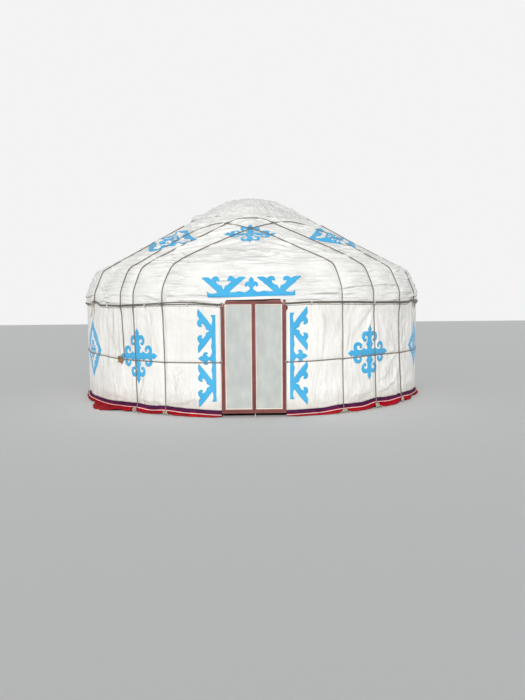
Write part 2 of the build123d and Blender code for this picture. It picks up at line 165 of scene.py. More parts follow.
# %% [markdown]
# The roof's outline, from its hem at the eave up the rounded shoulder to the crown ring. A few
# points are enough: the cloth reads a smooth curve through them. The straight slope lies a finger's
# breadth over the roof poles of the frame.

# %% Outline of the roof
ROOF_OUTLINE = [
    (3.260, 1.655), (3.261, 1.74), (3.261, 1.80), (3.257, 1.87), (3.235, 1.94), (3.206, 2.01),
    (3.177, 2.08), (3.144, 2.16), (3.106, 2.24), (3.06, 2.285), (3.0, 2.318), (2.9, 2.376),
]
SLOPE = 0.56511
SLOPE_FOOT_R, SLOPE_FOOT_Z = ROOF_OUTLINE[-1]
ROOF_TOP_R = 0.905


def slope_height(radius):
    return SLOPE_FOOT_Z + (SLOPE_FOOT_R - radius) * SLOPE


ROOF_OUTLINE += [(r / 10, slope_height(r / 10)) for r in range(28, 9, -1)]
ROOF_OUTLINE += [(ROOF_TOP_R, slope_height(ROOF_TOP_R))]


def mesh_of(data):
    """The mesh of a curve, which isn't kept."""
    guide = bpy.data.objects.new("guide", data)
    mesh = bpy.data.meshes.new_from_object(guide)
    bpy.data.objects.remove(guide)
    bpy.data.curves.remove(data)
    return mesh


def curve_points(points, detail=6):
    """The points along a smooth flat curve near the given ones."""
    data = bpy.data.curves.new("guide", "CURVE")
    data.dimensions = "3D"
    spline = data.splines.new("NURBS")
    spline.points.add(len(points) - 1)
    for point, (x, y) in zip(spline.points, points):
        point.co = (x, y, 0, 1)
    spline.order_u = 3
    spline.use_endpoint_u = True
    spline.resolution_u = detail
    mesh = mesh_of(data)
    places = [vertex.co.copy() for vertex in mesh.vertices]
    bpy.data.meshes.remove(mesh)
    return places


roof_line = [(point.x, point.y) for point in curve_points(ROOF_OUTLINE)]
roof_lengths = [0.0]
for (r0, z0), (r1, z1) in zip(roof_line, roof_line[1:]):
    roof_lengths.append(roof_lengths[-1] + math.hypot(r1 - r0, z1 - z0))
ROOF_LENGTH = roof_lengths[-1]
print("roof cloth from hem to crown", round(ROOF_LENGTH, 3), "m")


def roof_profile(length):
    """Radius, height and outward direction of the roof at a length up from its hem."""
    length = min(max(length, 0.0), ROOF_LENGTH)
    low = min(bisect.bisect(roof_lengths, length), len(roof_lengths) - 1) - 1
    (r0, z0), (r1, z1) = roof_line[low:low + 2]
    step = roof_lengths[low + 1] - roof_lengths[low]
    share = (length - roof_lengths[low]) / step
    return r0 + (r1 - r0) * share, z0 + (z1 - z0) * share, (z1 - z0) / step, (r0 - r1) / step


def roof_length_at(radius=None, height=None):
    """How far up from the hem the roof has a radius or a height."""
    low, high = 0.0, ROOF_LENGTH
    for _ in range(30):
        middle = (low + high) / 2
        r, z, _, _ = roof_profile(middle)
        if (radius is not None and r > radius) or (height is not None and z < height):
            low = middle
        else:
            high = middle
    return low


# %% [markdown]
# Ropes hold the cloth down. Each goes up the wall and over the eave, slants across the front of
# the roof below the crown, and comes down on the other side. They are tied at the wall's foot, and
# at one end to the belt rope. The places are read from the photo, as azimuth and height on the wall
# and azimuth and radius on the roof. Two short ropes on each half hold the crown cover's corners
# and are tied to the eave rope. The same ropes turned half round hold the back, which is a guess.
# The ropes come before the cloth in this script because they press a groove into it.

# %% Routes of the roof ropes
# Up the left wall, over the roof, down the right wall
ROPE_ROUTES = [
    (
        [(-24.4, 0.13), (-24.4, 0.45), (-24.5, 0.84), (-24.7, 1.3), (-24.8, 1.58)],
        [(-24.7, 3.24), (-24.3, 3.19), (-22.8, 3.04), (-21.4, 2.84), (-16.9, 2.54),
         (-9.6, 2.17), (-1.2, 1.88), (6.5, 1.73), (14.1, 1.63), (25.3, 1.53),
         (33, 1.58), (38.6, 1.69), (44.5, 1.93), (47, 2.3), (47.4, 2.7), (47.6, 3.05),
         (48.1, 3.21)],
        [(48.5, 1.6), (48.6, 1.3), (48.8, 0.88), (50.0, 0.5), (50.4, 0.19)],
    ),
    (
        [(-39.3, 0.86), (-39.7, 1.2), (-40.1, 1.6)],
        [(-40.0, 3.22), (-39.4, 3.11), (-37.9, 2.87), (-36.8, 2.49), (-36.2, 2.12),
         (-32.4, 1.85), (-27.7, 1.70), (-20.8, 1.59), (-11.4, 1.69), (-2.2, 1.84),
         (5.6, 2.03), (9.4, 2.17), (16.1, 2.54), (21.6, 2.85), (23.3, 3.04), (24.2, 3.2)],
        [(24.6, 1.58), (24.7, 1.2), (24.7, 0.84), (24.8, 0.45), (24.9, 0.13)],
    ),
    (
        [(-34.3, 0.13), (-34.5, 0.5), (-34.7, 0.84), (-34.9, 1.3), (-35.1, 1.6)],
        [(-34.6, 3.22), (-33.8, 3.1), (-32.6, 2.9), (-31.4, 2.7), (-28.8, 2.48),
         (-25.3, 2.18), (-16.4, 1.69), (-10.7, 1.47), (-6.9, 1.43), (0, 1.42),
         (7.4, 1.44), (12.9, 1.63), (20.1, 1.92), (26.9, 2.29), (30.6, 2.54),
         (32.8, 2.76), (34.2, 3.03), (35.3, 3.2)],
        [(35.8, 1.6), (36.1, 1.3), (36.5, 0.86), (36.7, 0.5), (36.9, 0.16)],
    ),
    ([], [(-55.6, 3.22), (-56, 3.0), (-57, 2.3), (-58, 1.5)], []),
    ([], [(60.5, 3.22), (60.6, 3.0), (61, 2.3), (61, 1.5)], []),
]


def route_on_tent(left, roof, right, turn):
    """A rope's points as (azimuth, place), with the place below zero on the wall.

    On the roof the place is the length up from the hem, and on the wall the height over the hem.
    """
    points = [(azimuth, height - HEM_Z) for azimuth, height in left]
    points.append((roof[0][0], 0.01))
    points += [(azimuth, roof_length_at(radius=radius)) for azimuth, radius in roof]
    if right:
        points.append((roof[-1][0], 0.01))
    points += [(azimuth, height - HEM_Z) for azimuth, height in right]
    return [(azimuth + turn, place) for azimuth, place in points]


def bare_point(azimuth, place, lift=0.0):
    """A point on the smooth tent, before any folds."""
    if place < 0:
        height = place + HEM_Z
        lean = 0.02 * rise(height, 1.5, 1.66)
        return around(azimuth, WALL_R + lean + lift, height)
    r, z, out, up = roof_profile(place)
    return around(azimuth, r + out * lift, z + up * lift)


rope_guides = []
for turn in (0, 180):
    for route in ROPE_ROUTES:
        rope_guides.append(curve_points(route_on_tent(*route, turn), detail=12))
press = kdtree.KDTree(sum(len(guide) for guide in rope_guides) * 2)
count = 0
for guide in rope_guides:
    for a, b in zip(guide, guide[1:]):
        for point in (a, (a + b) / 2):
            press.insert(bare_point(point.x, point.y), count)
            count += 1
press.balance()
print(len(rope_guides), "ropes,", count, "places where they press the cloth")

# %% [markdown]
# Folds. A fold is a small move of the cloth outwards or inwards. `ripple` reads noise laid round
# the tent, so that it closes on itself, and its two sizes say how long a wave is round the tent and
# up it. Sharp creases come from turning the noise's zero line into a ridge.

# %% Folds
def ripple(azimuth, place, size_round, size_up, seed):
    turn = math.radians(azimuth)
    return noise.noise(Vector((
        3.24 * math.cos(turn) / size_round,
        3.24 * math.sin(turn) / size_round,
        place / size_up + seed * 7.31,
    )))


def crease(azimuth, place, size_round, size_up, seed):
    return 0.35 - min(1.0, 2.2 * abs(ripple(azimuth, place, size_round, size_up, seed)))


def hump(distance, width):
    return math.exp(-((distance / width) ** 2))


def pressed(point, fold, swell):
    """Folds die out at a rope, which lies in a groove with swollen cloth beside it."""
    distance = press.find(point)[2]
    kept = fold * (1 - 0.9 * hump(distance, 0.055)) + swell * rise(distance, 0.02, 0.2)
    return kept + 0.005 * hump(distance - 0.065, 0.035) - 0.006 * hump(distance, 0.024)


# %% [markdown]
# Three lines go round the tent, as azimuth and height: the belt rope, the eave rope and the wall
# cover's lower edge. Their small rises and dips are read from the photo.

# %% Lines round the tent
BELT_LINE = [
    (-180, 0.84), (-120, 0.88), (-85, 0.88), (-59, 0.86), (-52, 0.845), (-39.5, 0.812), (-24, 0.803),
    (-8, 0.81), (8, 0.81), (13, 0.813), (25, 0.83), (37, 0.855), (50, 0.85), (63, 0.85), (100, 0.86),
    (180, 0.84),
]
EAVE_LINE = [
    (-180, 1.67), (-120, 1.70), (-75, 1.735), (-61, 1.705), (-56, 1.745), (-50, 1.672),
    (-40, 1.658), (-33, 1.662), (-25, 1.67), (-16, 1.672), (-8, 1.648), (8, 1.663), (15, 1.68),
    (25, 1.682), (37, 1.676), (49, 1.682), (54, 1.69), (58.5, 1.73), (64, 1.705), (80, 1.735),
    (120, 1.70), (180, 1.67),
]
COVER_EDGE = [
    (-180, 0.10), (-155, 0.135), (-145, 0.115), (-130, 0.11), (-119, 0.135), (-105, 0.11),
    (-90, 0.125), (-75, 0.105), (-58, 0.12), (-47, 0.115), (-39.5, 0.13), (-34.6, 0.14),
    (-29.5, 0.12), (-24.6, 0.138), (-17, 0.115), (-9, 0.10), (9, 0.095), (17, 0.10), (25.2, 0.13),
    (31, 0.125), (36.6, 0.165), (43, 0.145), (50, 0.155), (61, 0.13), (75, 0.11), (90, 0.125),
    (105, 0.11), (119, 0.135), (130, 0.11), (145, 0.115), (155, 0.135), (180, 0.10),
]


# %% [markdown]
# Slack cloth doesn't hang smooth: it lies in shallow steps, one under the other.

# %% Tucks
def signed(azimuth):
    """An azimuth from -180 to 180."""
    return (azimuth + 180) % 360 - 180


def swing(azimuth):
    """Degrees from the middle of the front or of the back, whichever is nearer."""
    return abs((azimuth + 90) % 180 - 90)


def tucks(azimuth, place, spacing, reach, seed):
    """Slack cloth hangs in shallow steps: it swells upwards from a sharp tuck."""
    wander = 0.9 * ripple(azimuth, 0, 1.4, 1, seed) + 0.5 * ripple(azimuth, place, 0.5, 0.4, seed + 1)
    steps = place / spacing + wander
    level = math.floor(steps)
    part = steps - level
    strength = max(0.0, 0.40 + 3.0 * ripple(azimuth, 3.7 * level, reach, 1, seed + 2))
    return min(1.0, strength) * min(1.0, part / 0.12) * (1 - part) ** 1.4


# %% [markdown]
# Single long tucks, where the photo shows one: lines of (azimuth, height) with a depth in metres.

# %% Single tucks
WALL_LEDGES = [
    ([(-36, 0.19), (-30, 0.175), (-24, 0.168), (-19, 0.19), (-14.5, 0.28)], 0.026),
    ([(-24, 0.31), (-18, 0.235), (-12, 0.245)], 0.010), ([(-52, 0.26), (-46, 0.20), (-40, 0.22)], 0.012),
    ([(25.5, 0.21), (31, 0.235), (36.5, 0.27)], 0.014),
    ([(37, 0.24), (41, 0.27), (45, 0.36), (47.5, 0.55), (48.4, 0.80)], 0.034),
    ([(37, 0.40), (41, 0.48), (44.5, 0.66)], 0.018), ([(50, 0.30), (56, 0.26), (60, 0.28)], 0.010),
    ([(13, 0.22), (19, 0.185), (24.5, 0.20)], 0.009), ([(-22, 1.50), (-18, 1.42), (-14, 1.44)], 0.008),
]
ROOF_LEDGES = [
    ([(9, 1.985), (14, 1.975), (20, 1.935), (25, 1.90), (30, 1.865), (35.5, 1.85)], 0.018),
    ([(25.5, 1.98), (30, 2.03), (33.5, 2.06)], 0.014), ([(25.5, 2.10), (29, 2.14), (32, 2.17)], 0.014),
    ([(37, 1.89), (42, 1.92), (47, 1.96)], 0.012), ([(37, 2.04), (42, 2.09), (46.5, 2.11)], 0.014),
    ([(10, 1.80), (17, 1.80), (24, 1.785)], 0.012), ([(49, 1.88), (54, 1.93), (59, 1.95)], 0.012),
    ([(-46, 2.13), (-40, 2.13), (-33, 2.11)], 0.014), ([(-33.5, 2.02), (-29, 1.985), (-25, 1.98)], 0.014),
    ([(-34, 1.90), (-29, 1.865), (-25, 1.86)], 0.013), ([(-24, 1.93), (-17, 1.935), (-10.5, 1.945)], 0.016),
    ([(-24, 1.80), (-18, 1.80), (-11, 1.81)], 0.012), ([(-55, 1.99), (-48, 1.93), (-41, 1.92)], 0.014),
    ([(-55, 1.83), (-48, 1.80), (-41, 1.79)], 0.012), ([(-24, 2.10), (-18, 2.13), (-12, 2.11)], 0.012),
]


def ledges(azimuth, height, lines):
    """How far the single tucks push the cloth out: sharp below their line, fading above it."""
    total = 0.0
    for turn in (0, 180):
        place = signed(azimuth - turn)
        for line, depth in lines:
            first, last = line[0][0], line[-1][0]
            if first < place < last:
                over = height - between(place, line)
                ends = min(1.0, (place - first) / 2.5, (last - place) / 2.5)
                if over > -0.03:
                    total += depth * ends * hump(max(over, 0), 0.09) / (1 + math.exp(-over / 0.005))
    return total


# %% [markdown]
# Fans of creases run from each place where a rope pulls the cloth together. Each is given as
# azimuth, height, reach in metres and strength.

# %% Fans of creases
FANS = [
    (-56.5, 1.72, 0.40, 0.7), (-39.5, 0.84, 0.45, 0.8), (-34.3, 0.08, 0.50, 1.0),
    (-24.4, 0.08, 0.55, 1.0), (24.9, 0.08, 0.50, 0.9), (36.8, 0.10, 0.55, 1.0),
    (37.0, 1.72, 0.85, 1.9), (48.6, 0.90, 0.45, 1.5), (50.4, 0.10, 0.55, 1.8), (58, 1.72, 0.5, 1.3),
    (11.0, 1.70, 0.35, 0.8), (-9.5, 0.85, 0.22, 0.5), (9.5, 0.85, 0.22, 0.5),
]


def fans(azimuth, height):
    """Creases that run away from a place where a rope pulls the cloth together."""
    total = 0.0
    for turn in (0, 180):
        for pulled, level, reach, strength in FANS:
            aside = math.radians(signed(azimuth - pulled - turn)) * WALL_R
            if abs(aside) < 2 * reach:
                over = height - level
                far = math.hypot(aside, over)
                angle = math.atan2(aside, abs(over) + 0.02)
                ray = noise.noise(Vector((2.6 * angle, pulled, 0.7 * far)))
                near = hump(far, reach) * min(1.0, far / 0.12)
                total += strength * near * (0.4 - min(1.0, 2.4 * abs(ray)))
    return total


# %% [markdown]
# A piece of cloth has several kinds of fold at once. The two functions add them up, each with its
# height in metres and with weights that say where it is at home: steps of slack cloth on the roof,
# upright waves on the wall.

# %% Folds of the wall and the roof
POLE_SAGS = 42


def wall_fold(azimuth, height):
    belt = height - between(signed(azimuth), BELT_LINE)
    edge = height - between(signed(azimuth), COVER_EDGE)
    low, high = hump(edge, 0.35), hump(height - 1.66, 0.34)
    side = between(swing(azimuth), [(12, 0.3), (30, 0.7), (42, 1.0)])
    drift = azimuth + 3.5 * ripple(azimuth, height, 0.9, 0.7, 7)
    soft = 0.5 + 0.5 * min(1.0, max(-1.0, 5 * ripple(azimuth, height, 1.1, 0.9, 9)))
    fold = 0.002 + 0.016 * side * ripple(drift, height, 0.34, 2.6, 1)
    fold += 0.013 * side * soft * crease(drift, height, 0.20, 1.8, 2)
    fold += 0.010 * high * side * crease(drift, height, 0.12, 0.9, 3)
    fold += 0.018 * fans(azimuth, height) + ledges(azimuth, height, WALL_LEDGES)
    fold += 0.008 * low * ripple(azimuth, height, 0.5, 0.12, 5)
    fold += 0.014 * ripple(azimuth, height, 1.3, 0.8, 6)
    fold += 0.004 * hump(abs(belt) - 0.06, 0.04) - 0.008 * hump(belt, 0.022)
    return fold


def roof_fold(azimuth, length, height):
    around_middle = swing(azimuth)
    shoulder = between(length, [(0.0, 0.3), (0.08, 1.0), (0.8, 1.0), (1.2, 0.0)])
    slope = rise(length, 0.6, 1.1)
    hang = length - 0.002 * min(around_middle, 40)
    pull = length + 0.018 * min(around_middle, 28)
    fold = 0.036 * shoulder * tucks(azimuth, hang, 0.125, 0.6, 11)
    fold += 0.018 * shoulder * tucks(azimuth, hang + 0.03, 0.066, 0.35, 15)
    calm = between(around_middle, [(40, 1.0), (58, 0.45)])
    fold += 0.042 * calm * slope * tucks(azimuth, pull, 0.19, 0.7, 19)
    fold += 0.022 * calm * slope * tucks(azimuth, pull, 0.095, 0.45, 23)
    fold += 0.012 * ripple(azimuth, length, 1.1, 0.8, 27) + ledges(azimuth, height, ROOF_LEDGES)
    fold += 0.003 * slope * math.cos(math.radians(azimuth) * POLE_SAGS)
    return fold


# %% [markdown]
# The canvas is laid out as a grid round the tent. The grid's points are worked out once and kept,
# so that ornaments and ropes read exactly the surface that the cloth has, and lie on it.

# %% Cloth grids
class Cloth:
    """A grid of cloth points round the tent, by column (azimuth) and row (share of the height)."""

    def __init__(self, start, end, columns, rows, place):
        self.start, self.end, self.columns, self.rows = start, end, columns, rows
        self.points, self.outward = [], []
        for column in range(columns + 1):
            azimuth = start + (end - start) * column / columns
            line = [place(azimuth, row / rows) for row in range(rows + 1)]
            self.points.append([point for point, _ in line])
            self.outward.append([out for _, out in line])

    def at(self, azimuth, share, lift=0.0):
        """A point on the cloth, or over it by lift."""
        across = (azimuth - self.start) % 360 / (self.end - self.start) * self.columns
        across = min(across, self.columns - 1e-6)
        up = min(max(share * self.rows, 0), self.rows - 1e-6)
        i, j = int(across), int(up)
        s, t = across - i, up - j
        total, out = Vector(), Vector()
        for column, row, weight in (
            (i, j, (1 - s) * (1 - t)), (i + 1, j, s * (1 - t)),
            (i, j + 1, (1 - s) * t), (i + 1, j + 1, s * t),
        ):
            total += self.points[column][row] * weight
            out += self.outward[column][row] * weight
        return total + out.normalized() * lift


def wall_bottom(azimuth):
    return between(signed(azimuth), COVER_EDGE)


def wall_place(azimuth, share):
    bottom = wall_bottom(azimuth)
    height = bottom + share * (WALL_TOP - bottom)
    fold = pressed(around(azimuth, WALL_R, height), wall_fold(azimuth, height), 0.004)
    edge = min(azimuth - DOOR_EDGE, 360 - DOOR_EDGE - azimuth)
    top = rise(height, 1.5, 1.64)
    side = rise(swing(azimuth), 58, 74)
    fold = min(max(-0.008 + 0.006 * top, fold * (1 - 0.4 * side)), 0.042 - 0.037 * top) - 0.010 * side
    fold = max(-0.012, fold)
    fold = fold * (1 - 0.7 * hump(edge, 0.7)) + 0.003 * hump(height - bottom, 0.02)
    drawn = 0.55 * hump(height - 1.605, 0.03) * hump(azimuth - DOOR_EDGE, 0.9)
    drawn += 0.05 * hump(edge, 0.5) * ripple(0, height, 1, 0.25, 8)
    return around(azimuth + drawn, WALL_R + fold, height), around(azimuth, 1, 0)


# %% [markdown]
# The shoulder bends and wrinkles most, so the roof's rows lie closer there than on the slope.

# %% Rows of the roof cloth
SHOULDER_LENGTH = 0.86
ROOF_ROWS = 210
SHOULDER_SHARE = 96 / ROOF_ROWS


def roof_length_of(share):
    if share < SHOULDER_SHARE:
        return share / SHOULDER_SHARE * SHOULDER_LENGTH
    past = (share - SHOULDER_SHARE) / (1 - SHOULDER_SHARE)
    return SHOULDER_LENGTH + past * (ROOF_LENGTH - SHOULDER_LENGTH)


def roof_share_of(length):
    if length < SHOULDER_LENGTH:
        return length / SHOULDER_LENGTH * SHOULDER_SHARE
    past = (length - SHOULDER_LENGTH) / (ROOF_LENGTH - SHOULDER_LENGTH)
    return SHOULDER_SHARE + past * (1 - SHOULDER_SHARE)


def roof_place(azimuth, share):
    length = roof_length_of(share)
    r, z, out, up = roof_profile(length)
    pole = math.cos(math.radians(azimuth) * POLE_SAGS)
    fold = roof_fold(azimuth, length, z) * rise(r, 1.3, 1.5)
    swell = 0.010 * (1 - rise(swing(azimuth), 46, 58)) * rise(r, 1.3, 1.7)
    fold = pressed(around(azimuth, r, z), fold, swell)
    side = rise(swing(azimuth), 58, 74)
    fold = max(-0.006 + 0.004 * min(0.0, pole), fold * (1 - 0.6 * side))
    fold -= side * between(length, [(0.12, 0.014), (0.26, 0.0)])
    fold = fold * between(length, [(0.03, 0.6 if side else 0.2), (0.10, 1.0)]) + 0.003 * hump(length, 0.02)
    hem = between(signed(azimuth), EAVE_LINE) - 0.022 - ROOF_OUTLINE[0][1]
    hem = (hem + 0.004 * ripple(azimuth, 0, 0.35, 1, 17)) * (1 - rise(length, 0.0, 0.3))
    point = around(azimuth, r + out * fold, z + up * fold + hem)
    return point, around(azimuth, out, up)


wall_cloth = Cloth(DOOR_EDGE, 360 - DOOR_EDGE, 640, 76, wall_place)
roof_cloth = Cloth(-180, 180, 504, ROOF_ROWS, roof_place)
print("wall grid", wall_cloth.columns, "x", wall_cloth.rows)
print("roof grid", roof_cloth.columns, "x", roof_cloth.rows)


def cloth_piece(
    name, cloth, part, parts, size, finishes, thickness=CANVAS_T,
    cut=None, up=None,
):
    """One of the equal parts of a grid round the tent, with its UV map in metres."""
    width, length = size
    columns = cloth.columns // parts
    first = part * cloth.columns // parts
    bm = bmesh.new()
    bm.loops.layers.uv.new("UVMap")
    bmesh.ops.create_grid(bm, x_segments=columns, y_segments=cloth.rows, size=0.5, calc_uvs=True)
    span = (cloth.end - cloth.start) / cloth.columns
    bmesh.ops.translate(bm, verts=bm.verts, vec=(0.5, 0.5, 0))
    bmesh.ops.scale(bm, verts=bm.verts, vec=(columns * span, 1, 1))
    bmesh.ops.translate(bm, verts=bm.verts, vec=(cloth.start + first * span, 0, 0))
    if cut:
        cut(bm)
    layer = bm.loops.layers.uv.active
    for face in bm.faces:
        face.smooth = True
        for loop in face.loops:
            across, share = loop[layer].uv
            loop[layer].uv = (across * width, up(share) if up else share * length)
    for vertex in bm.verts:
        azimuth, share = vertex.co.x, vertex.co.y
        if azimuth >= cloth.end - 1e-4:
            vertex.co = cloth.points[-1][min(cloth.rows, round(share * cloth.rows))]
        else:
            vertex.co = cloth.at(azimuth, share)
    return finished(name, bm, finishes, thickness)


def finished(name, bm, finishes, thickness=0.0):
    """Turns a bmesh into an object with its finishes and, for cloth, its thickness."""
    mesh = bpy.data.meshes.new(name)
    bm.to_mesh(mesh)
    bm.free()
    piece = bpy.data.objects.new(name, mesh)
    bpy.context.scene.collection.objects.link(piece)
    for finish in finishes:
        mesh.materials.append(finish)
    if thickness:
        solid = piece.modifiers.new("thickness", "SOLIDIFY")
        solid.thickness = thickness
        solid.offset = -1
        solid.material_offset = 1 if len(finishes) > 1 else 0
    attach(piece, "tent")
    return piece


# %% [markdown]
# Cotton canvas, woven plain and bleached off-white. It is rough and scatters light evenly. The
# weave's threads are under a millimetre and can't show in a view of the whole tent, so they are
# drawn at 3 mm. Old canvas is never one white: it has faint stains, dust near the ground, and
# seams where the widths of cloth are sewn together every 1.8 m. The ping-pong node runs up to its
# scale and back, so that scale is half a width.

# %% Canvas
THREAD = 0.003
HALF_CLOTH_WIDTH = 0.90


def weave_bump(tree, uv, spacing, strength, distance):
    """A bump of crossing threads at a spacing in metres."""
    threads = {"Vector": uv, "Scale": 0.05 / spacing * 2 * math.pi, "Distortion": 0.4, "Detail": 1}
    across = add_node(tree, "TexWave", threads, bands_direction="X").outputs["Fac"]
    along = add_node(tree, "TexWave", threads, bands_direction="Y").outputs["Fac"]
    both = add_node(tree, "Math", {0: across, 1: along}, operation="MAXIMUM")
    return add_node(tree, "Bump", {"Height": both, "Strength": strength, "Distance": distance})


def canvas(name, clean, stain, dust, wrinkles, sharpness, hem=0.0):
    """Canvas with small wrinkles, in waves per metre across and along, and a sewn hem."""
    material, tree, shader, place = new_finish(name, 0.85, Sheen_Weight=0.15, Sheen_Roughness=0.6)
    uv = add_node(tree, "UVMap", uv_map="UVMap")
    cloud = add_node(tree, "TexNoise", {"Vector": place, "Scale": 1.7, "Detail": 6, "Roughness": 0.6})
    body = add_node(tree, "ValToRGB", {"Fac": cloud}, [(0.35, stain), (0.62, clean)])
    height = add_node(tree, "SeparateXYZ", {"Vector": place}).outputs["Z"]
    patchy = add_node(tree, "TexNoise", {"Vector": place, "Scale": 9, "Detail": 5})
    dirty = add_node(tree, "Math", {0: patchy, 1: 0.35, 2: height}, operation="MULTIPLY_ADD")
    low = add_node(tree, "MapRange", dict(zip(RANGE, (dirty, 0.24, 0.55, 0.55, 0))))
    dusty = add_node(tree, "Mix", {"Factor": low, "A": body, "B": linear(dust)}, data_type="RGBA")
    # Seams run every cloth width, and a hem at the lower edge
    split = add_node(tree, "SeparateXYZ", {"Vector": uv})
    seam = add_node(tree, "Math", {0: split, 1: HALF_CLOTH_WIDTH}, operation="PINGPONG")
    above = add_node(tree, "Math", {0: split.outputs["Y"], 1: hem}, operation="SUBTRACT")
    hemmed = add_node(tree, "Math", {0: above}, operation="ABSOLUTE")
    nearest = add_node(tree, "Math", {0: seam, 1: hemmed}, operation="MINIMUM")
    stitched = add_node(tree, "MapRange", dict(zip(RANGE, (nearest, 0.006, 0.012, 1, 0))))
    # Two kinds of wrinkle, strong where a slow noise is high: soft ridges and crisp steps
    calm = add_node(tree, "TexNoise", {"Vector": place, "Scale": 1.9, "Detail": 2})
    busy = add_node(tree, "MapRange", dict(zip(RANGE, (calm, 0.40, 0.62, 0.3, 1))))
    near = add_node(tree, "Mapping", {"Vector": uv, "Scale": (*wrinkles, 1)})
    small = add_node(tree, "TexNoise", {"Vector": near, "Scale": 1, "Detail": 3, "Distortion": 0.8})
    middle = add_node(tree, "Math", {0: small, 1: 0.5}, operation="SUBTRACT")
    ridge = add_node(tree, "Math", {0: middle}, operation="ABSOLUTE")
    far = add_node(tree, "Mapping", {"Vector": uv, "Scale": (*[0.8 * w for w in wrinkles], 1)})
    lines = add_node(tree, "TexNoise", {"Vector": far, "Scale": 1, "Detail": 1, "Distortion": 0.5})
    level = add_node(tree, "Math", {0: lines, 1: 8}, operation="MULTIPLY")
    step = add_node(tree, "Math", {0: level}, operation="FRACT")
    bump = weave_bump(tree, uv, THREAD, 0.25, 0.0006)
    for height, strength, distance in (
        (ridge, busy, 0.07), (step, busy, sharpness), (stitched, 0.6, 0.002),
    ):
        bump = add_node(tree, "Bump", {
            "Height": height, "Strength": strength, "Distance": distance, "Normal": bump,
        })
    feed(tree, shader, {"Base Color": dusty, "Normal": bump})
    return material


wall_canvas = canvas("bleached_canvas", "#f1efea", "#e5e3dd", "#b9b0a2", (5.5, 1.3), 0.006, 0.07)
roof_canvas = canvas("weathered_canvas", "#f0efeb", "#e3e2de", "#b9b0a2", (1.5, 9.0), 0.010)

# %% [markdown]
# Under the canvas lies pressed wool felt, which is what shows from inside. Felt has no threads,
# only a soft cloudy nap, so one noise colours it and the same noise roughens it.

# %% Felt
felt = two_toned(
    "pressed_felt", 0.95, {"Scale": 40, "Detail": 6}, [(0.3, "#b9ad9b"), (0.7, "#d5ccbc")],
    nap=({"Scale": 40, "Detail": 6}, 0.5, 0.003), Sheen_Weight=0.3,
)

# %% [markdown]
# The wall covers hang in four lengths from under the eave to a hand's breadth over the ground.
# They stop at the door frame's two sides.

# %% Wall covers
WALL_PIECES = ["front_right", "back_right", "back_left", "front_left"]
for number, side in enumerate(WALL_PIECES):
    piece = cloth_piece(
        f"wall_canvas_{side}", wall_cloth, number, 4, (4.855, 1.69), [wall_canvas, felt]
    )
    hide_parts(f"wall_cover_{side}")

# %% [markdown]
# The roof cover is sewn in three sectors. Over the door its hem is cut away in a shallow trapezoid,
# which lets the door's top show. The cut is made while the grid is still flat: three bisections
# near it, then the faces inside are deleted.

# %% Roof covers
ROOF_PIECE_W = 6.84
NOTCH_TOP = 1.747
NOTCH_HALF_TOP = math.degrees(0.392 / 3.27)
NOTCH_HALF_LOW = math.degrees(0.440 / 3.27)


def cut_notch(bm):
    top = roof_share_of(roof_length_at(height=NOTCH_TOP))
    edge = (Vector((NOTCH_HALF_TOP, top, 0)) - Vector((NOTCH_HALF_LOW, 0, 0))).normalized()
    planes = [(Vector((0, top, 0)), Vector((0, 1, 0)))]
    for way in (1, -1):
        planes.append((Vector((way * NOTCH_HALF_LOW, 0, 0)), Vector((edge.y * way, -edge.x, 0))))
    for point, normal in planes:
        near = [
            face for face in bm.faces
            if abs(face.calc_center_median().x) < 9 and face.calc_center_median().y < 2 * top
        ]
        geometry = set(near)
        for face in near:
            geometry.update(face.edges)
            geometry.update(face.verts)
        bmesh.ops.bisect_plane(
            bm, geom=list(geometry), dist=1e-6, plane_co=point, plane_no=normal
        )
    inside = [
        face for face in bm.faces
        if all((face.calc_center_median() - point).dot(normal) < 0 for point, normal in planes)
    ]
    bmesh.ops.delete(bm, geom=inside, context="FACES")


for number, side in enumerate(("left", "front", "right")):
    piece = cloth_piece(
        f"roof_canvas_{side}", roof_cloth, number, 3, (ROOF_PIECE_W, ROOF_LENGTH),
        [roof_canvas, felt], cut=cut_notch if side == "front" else None, up=roof_length_of,
    )
    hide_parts(f"roof_cover_{side}")

# %% [markdown]
# The crown cover is one more cloth, pulled over the dome of crossed ribs. Its rim lies on the roof
# in shallow pleats and stands up in a thick fold on the left. It is a round grid: the columns are
# joined at the seam and at the top, so that it closes.

# %% Crown cover
DOME_TOP = 3.814
DOME_R = 0.89
DOME_EDGE_Z = slope_height(DOME_R) + 0.016


def crown_height(radius):
    """Height of the crown cover, from the dome down to its lying rim."""
    lying = slope_height(radius) + between(radius, [(1.0, 0.016), (1.35, 0.008)])
    dome = DOME_TOP - (DOME_TOP - DOME_EDGE_Z) * (radius / DOME_R) ** 1.9
    blend = 1 / (1 + math.exp(-(radius - DOME_R - 0.02) / 0.035))
    return dome * (1 - blend) + lying * blend if radius > 0.6 else dome


def crown_rim(azimuth):
    corner = 0.05 * math.cos(math.radians(azimuth) * 4 - 0.3)
    return 1.33 + corner + 0.05 * ripple(azimuth, 0, 0.8, 1, 21) - 0.12 * hump(signed(azimuth + 80), 22)


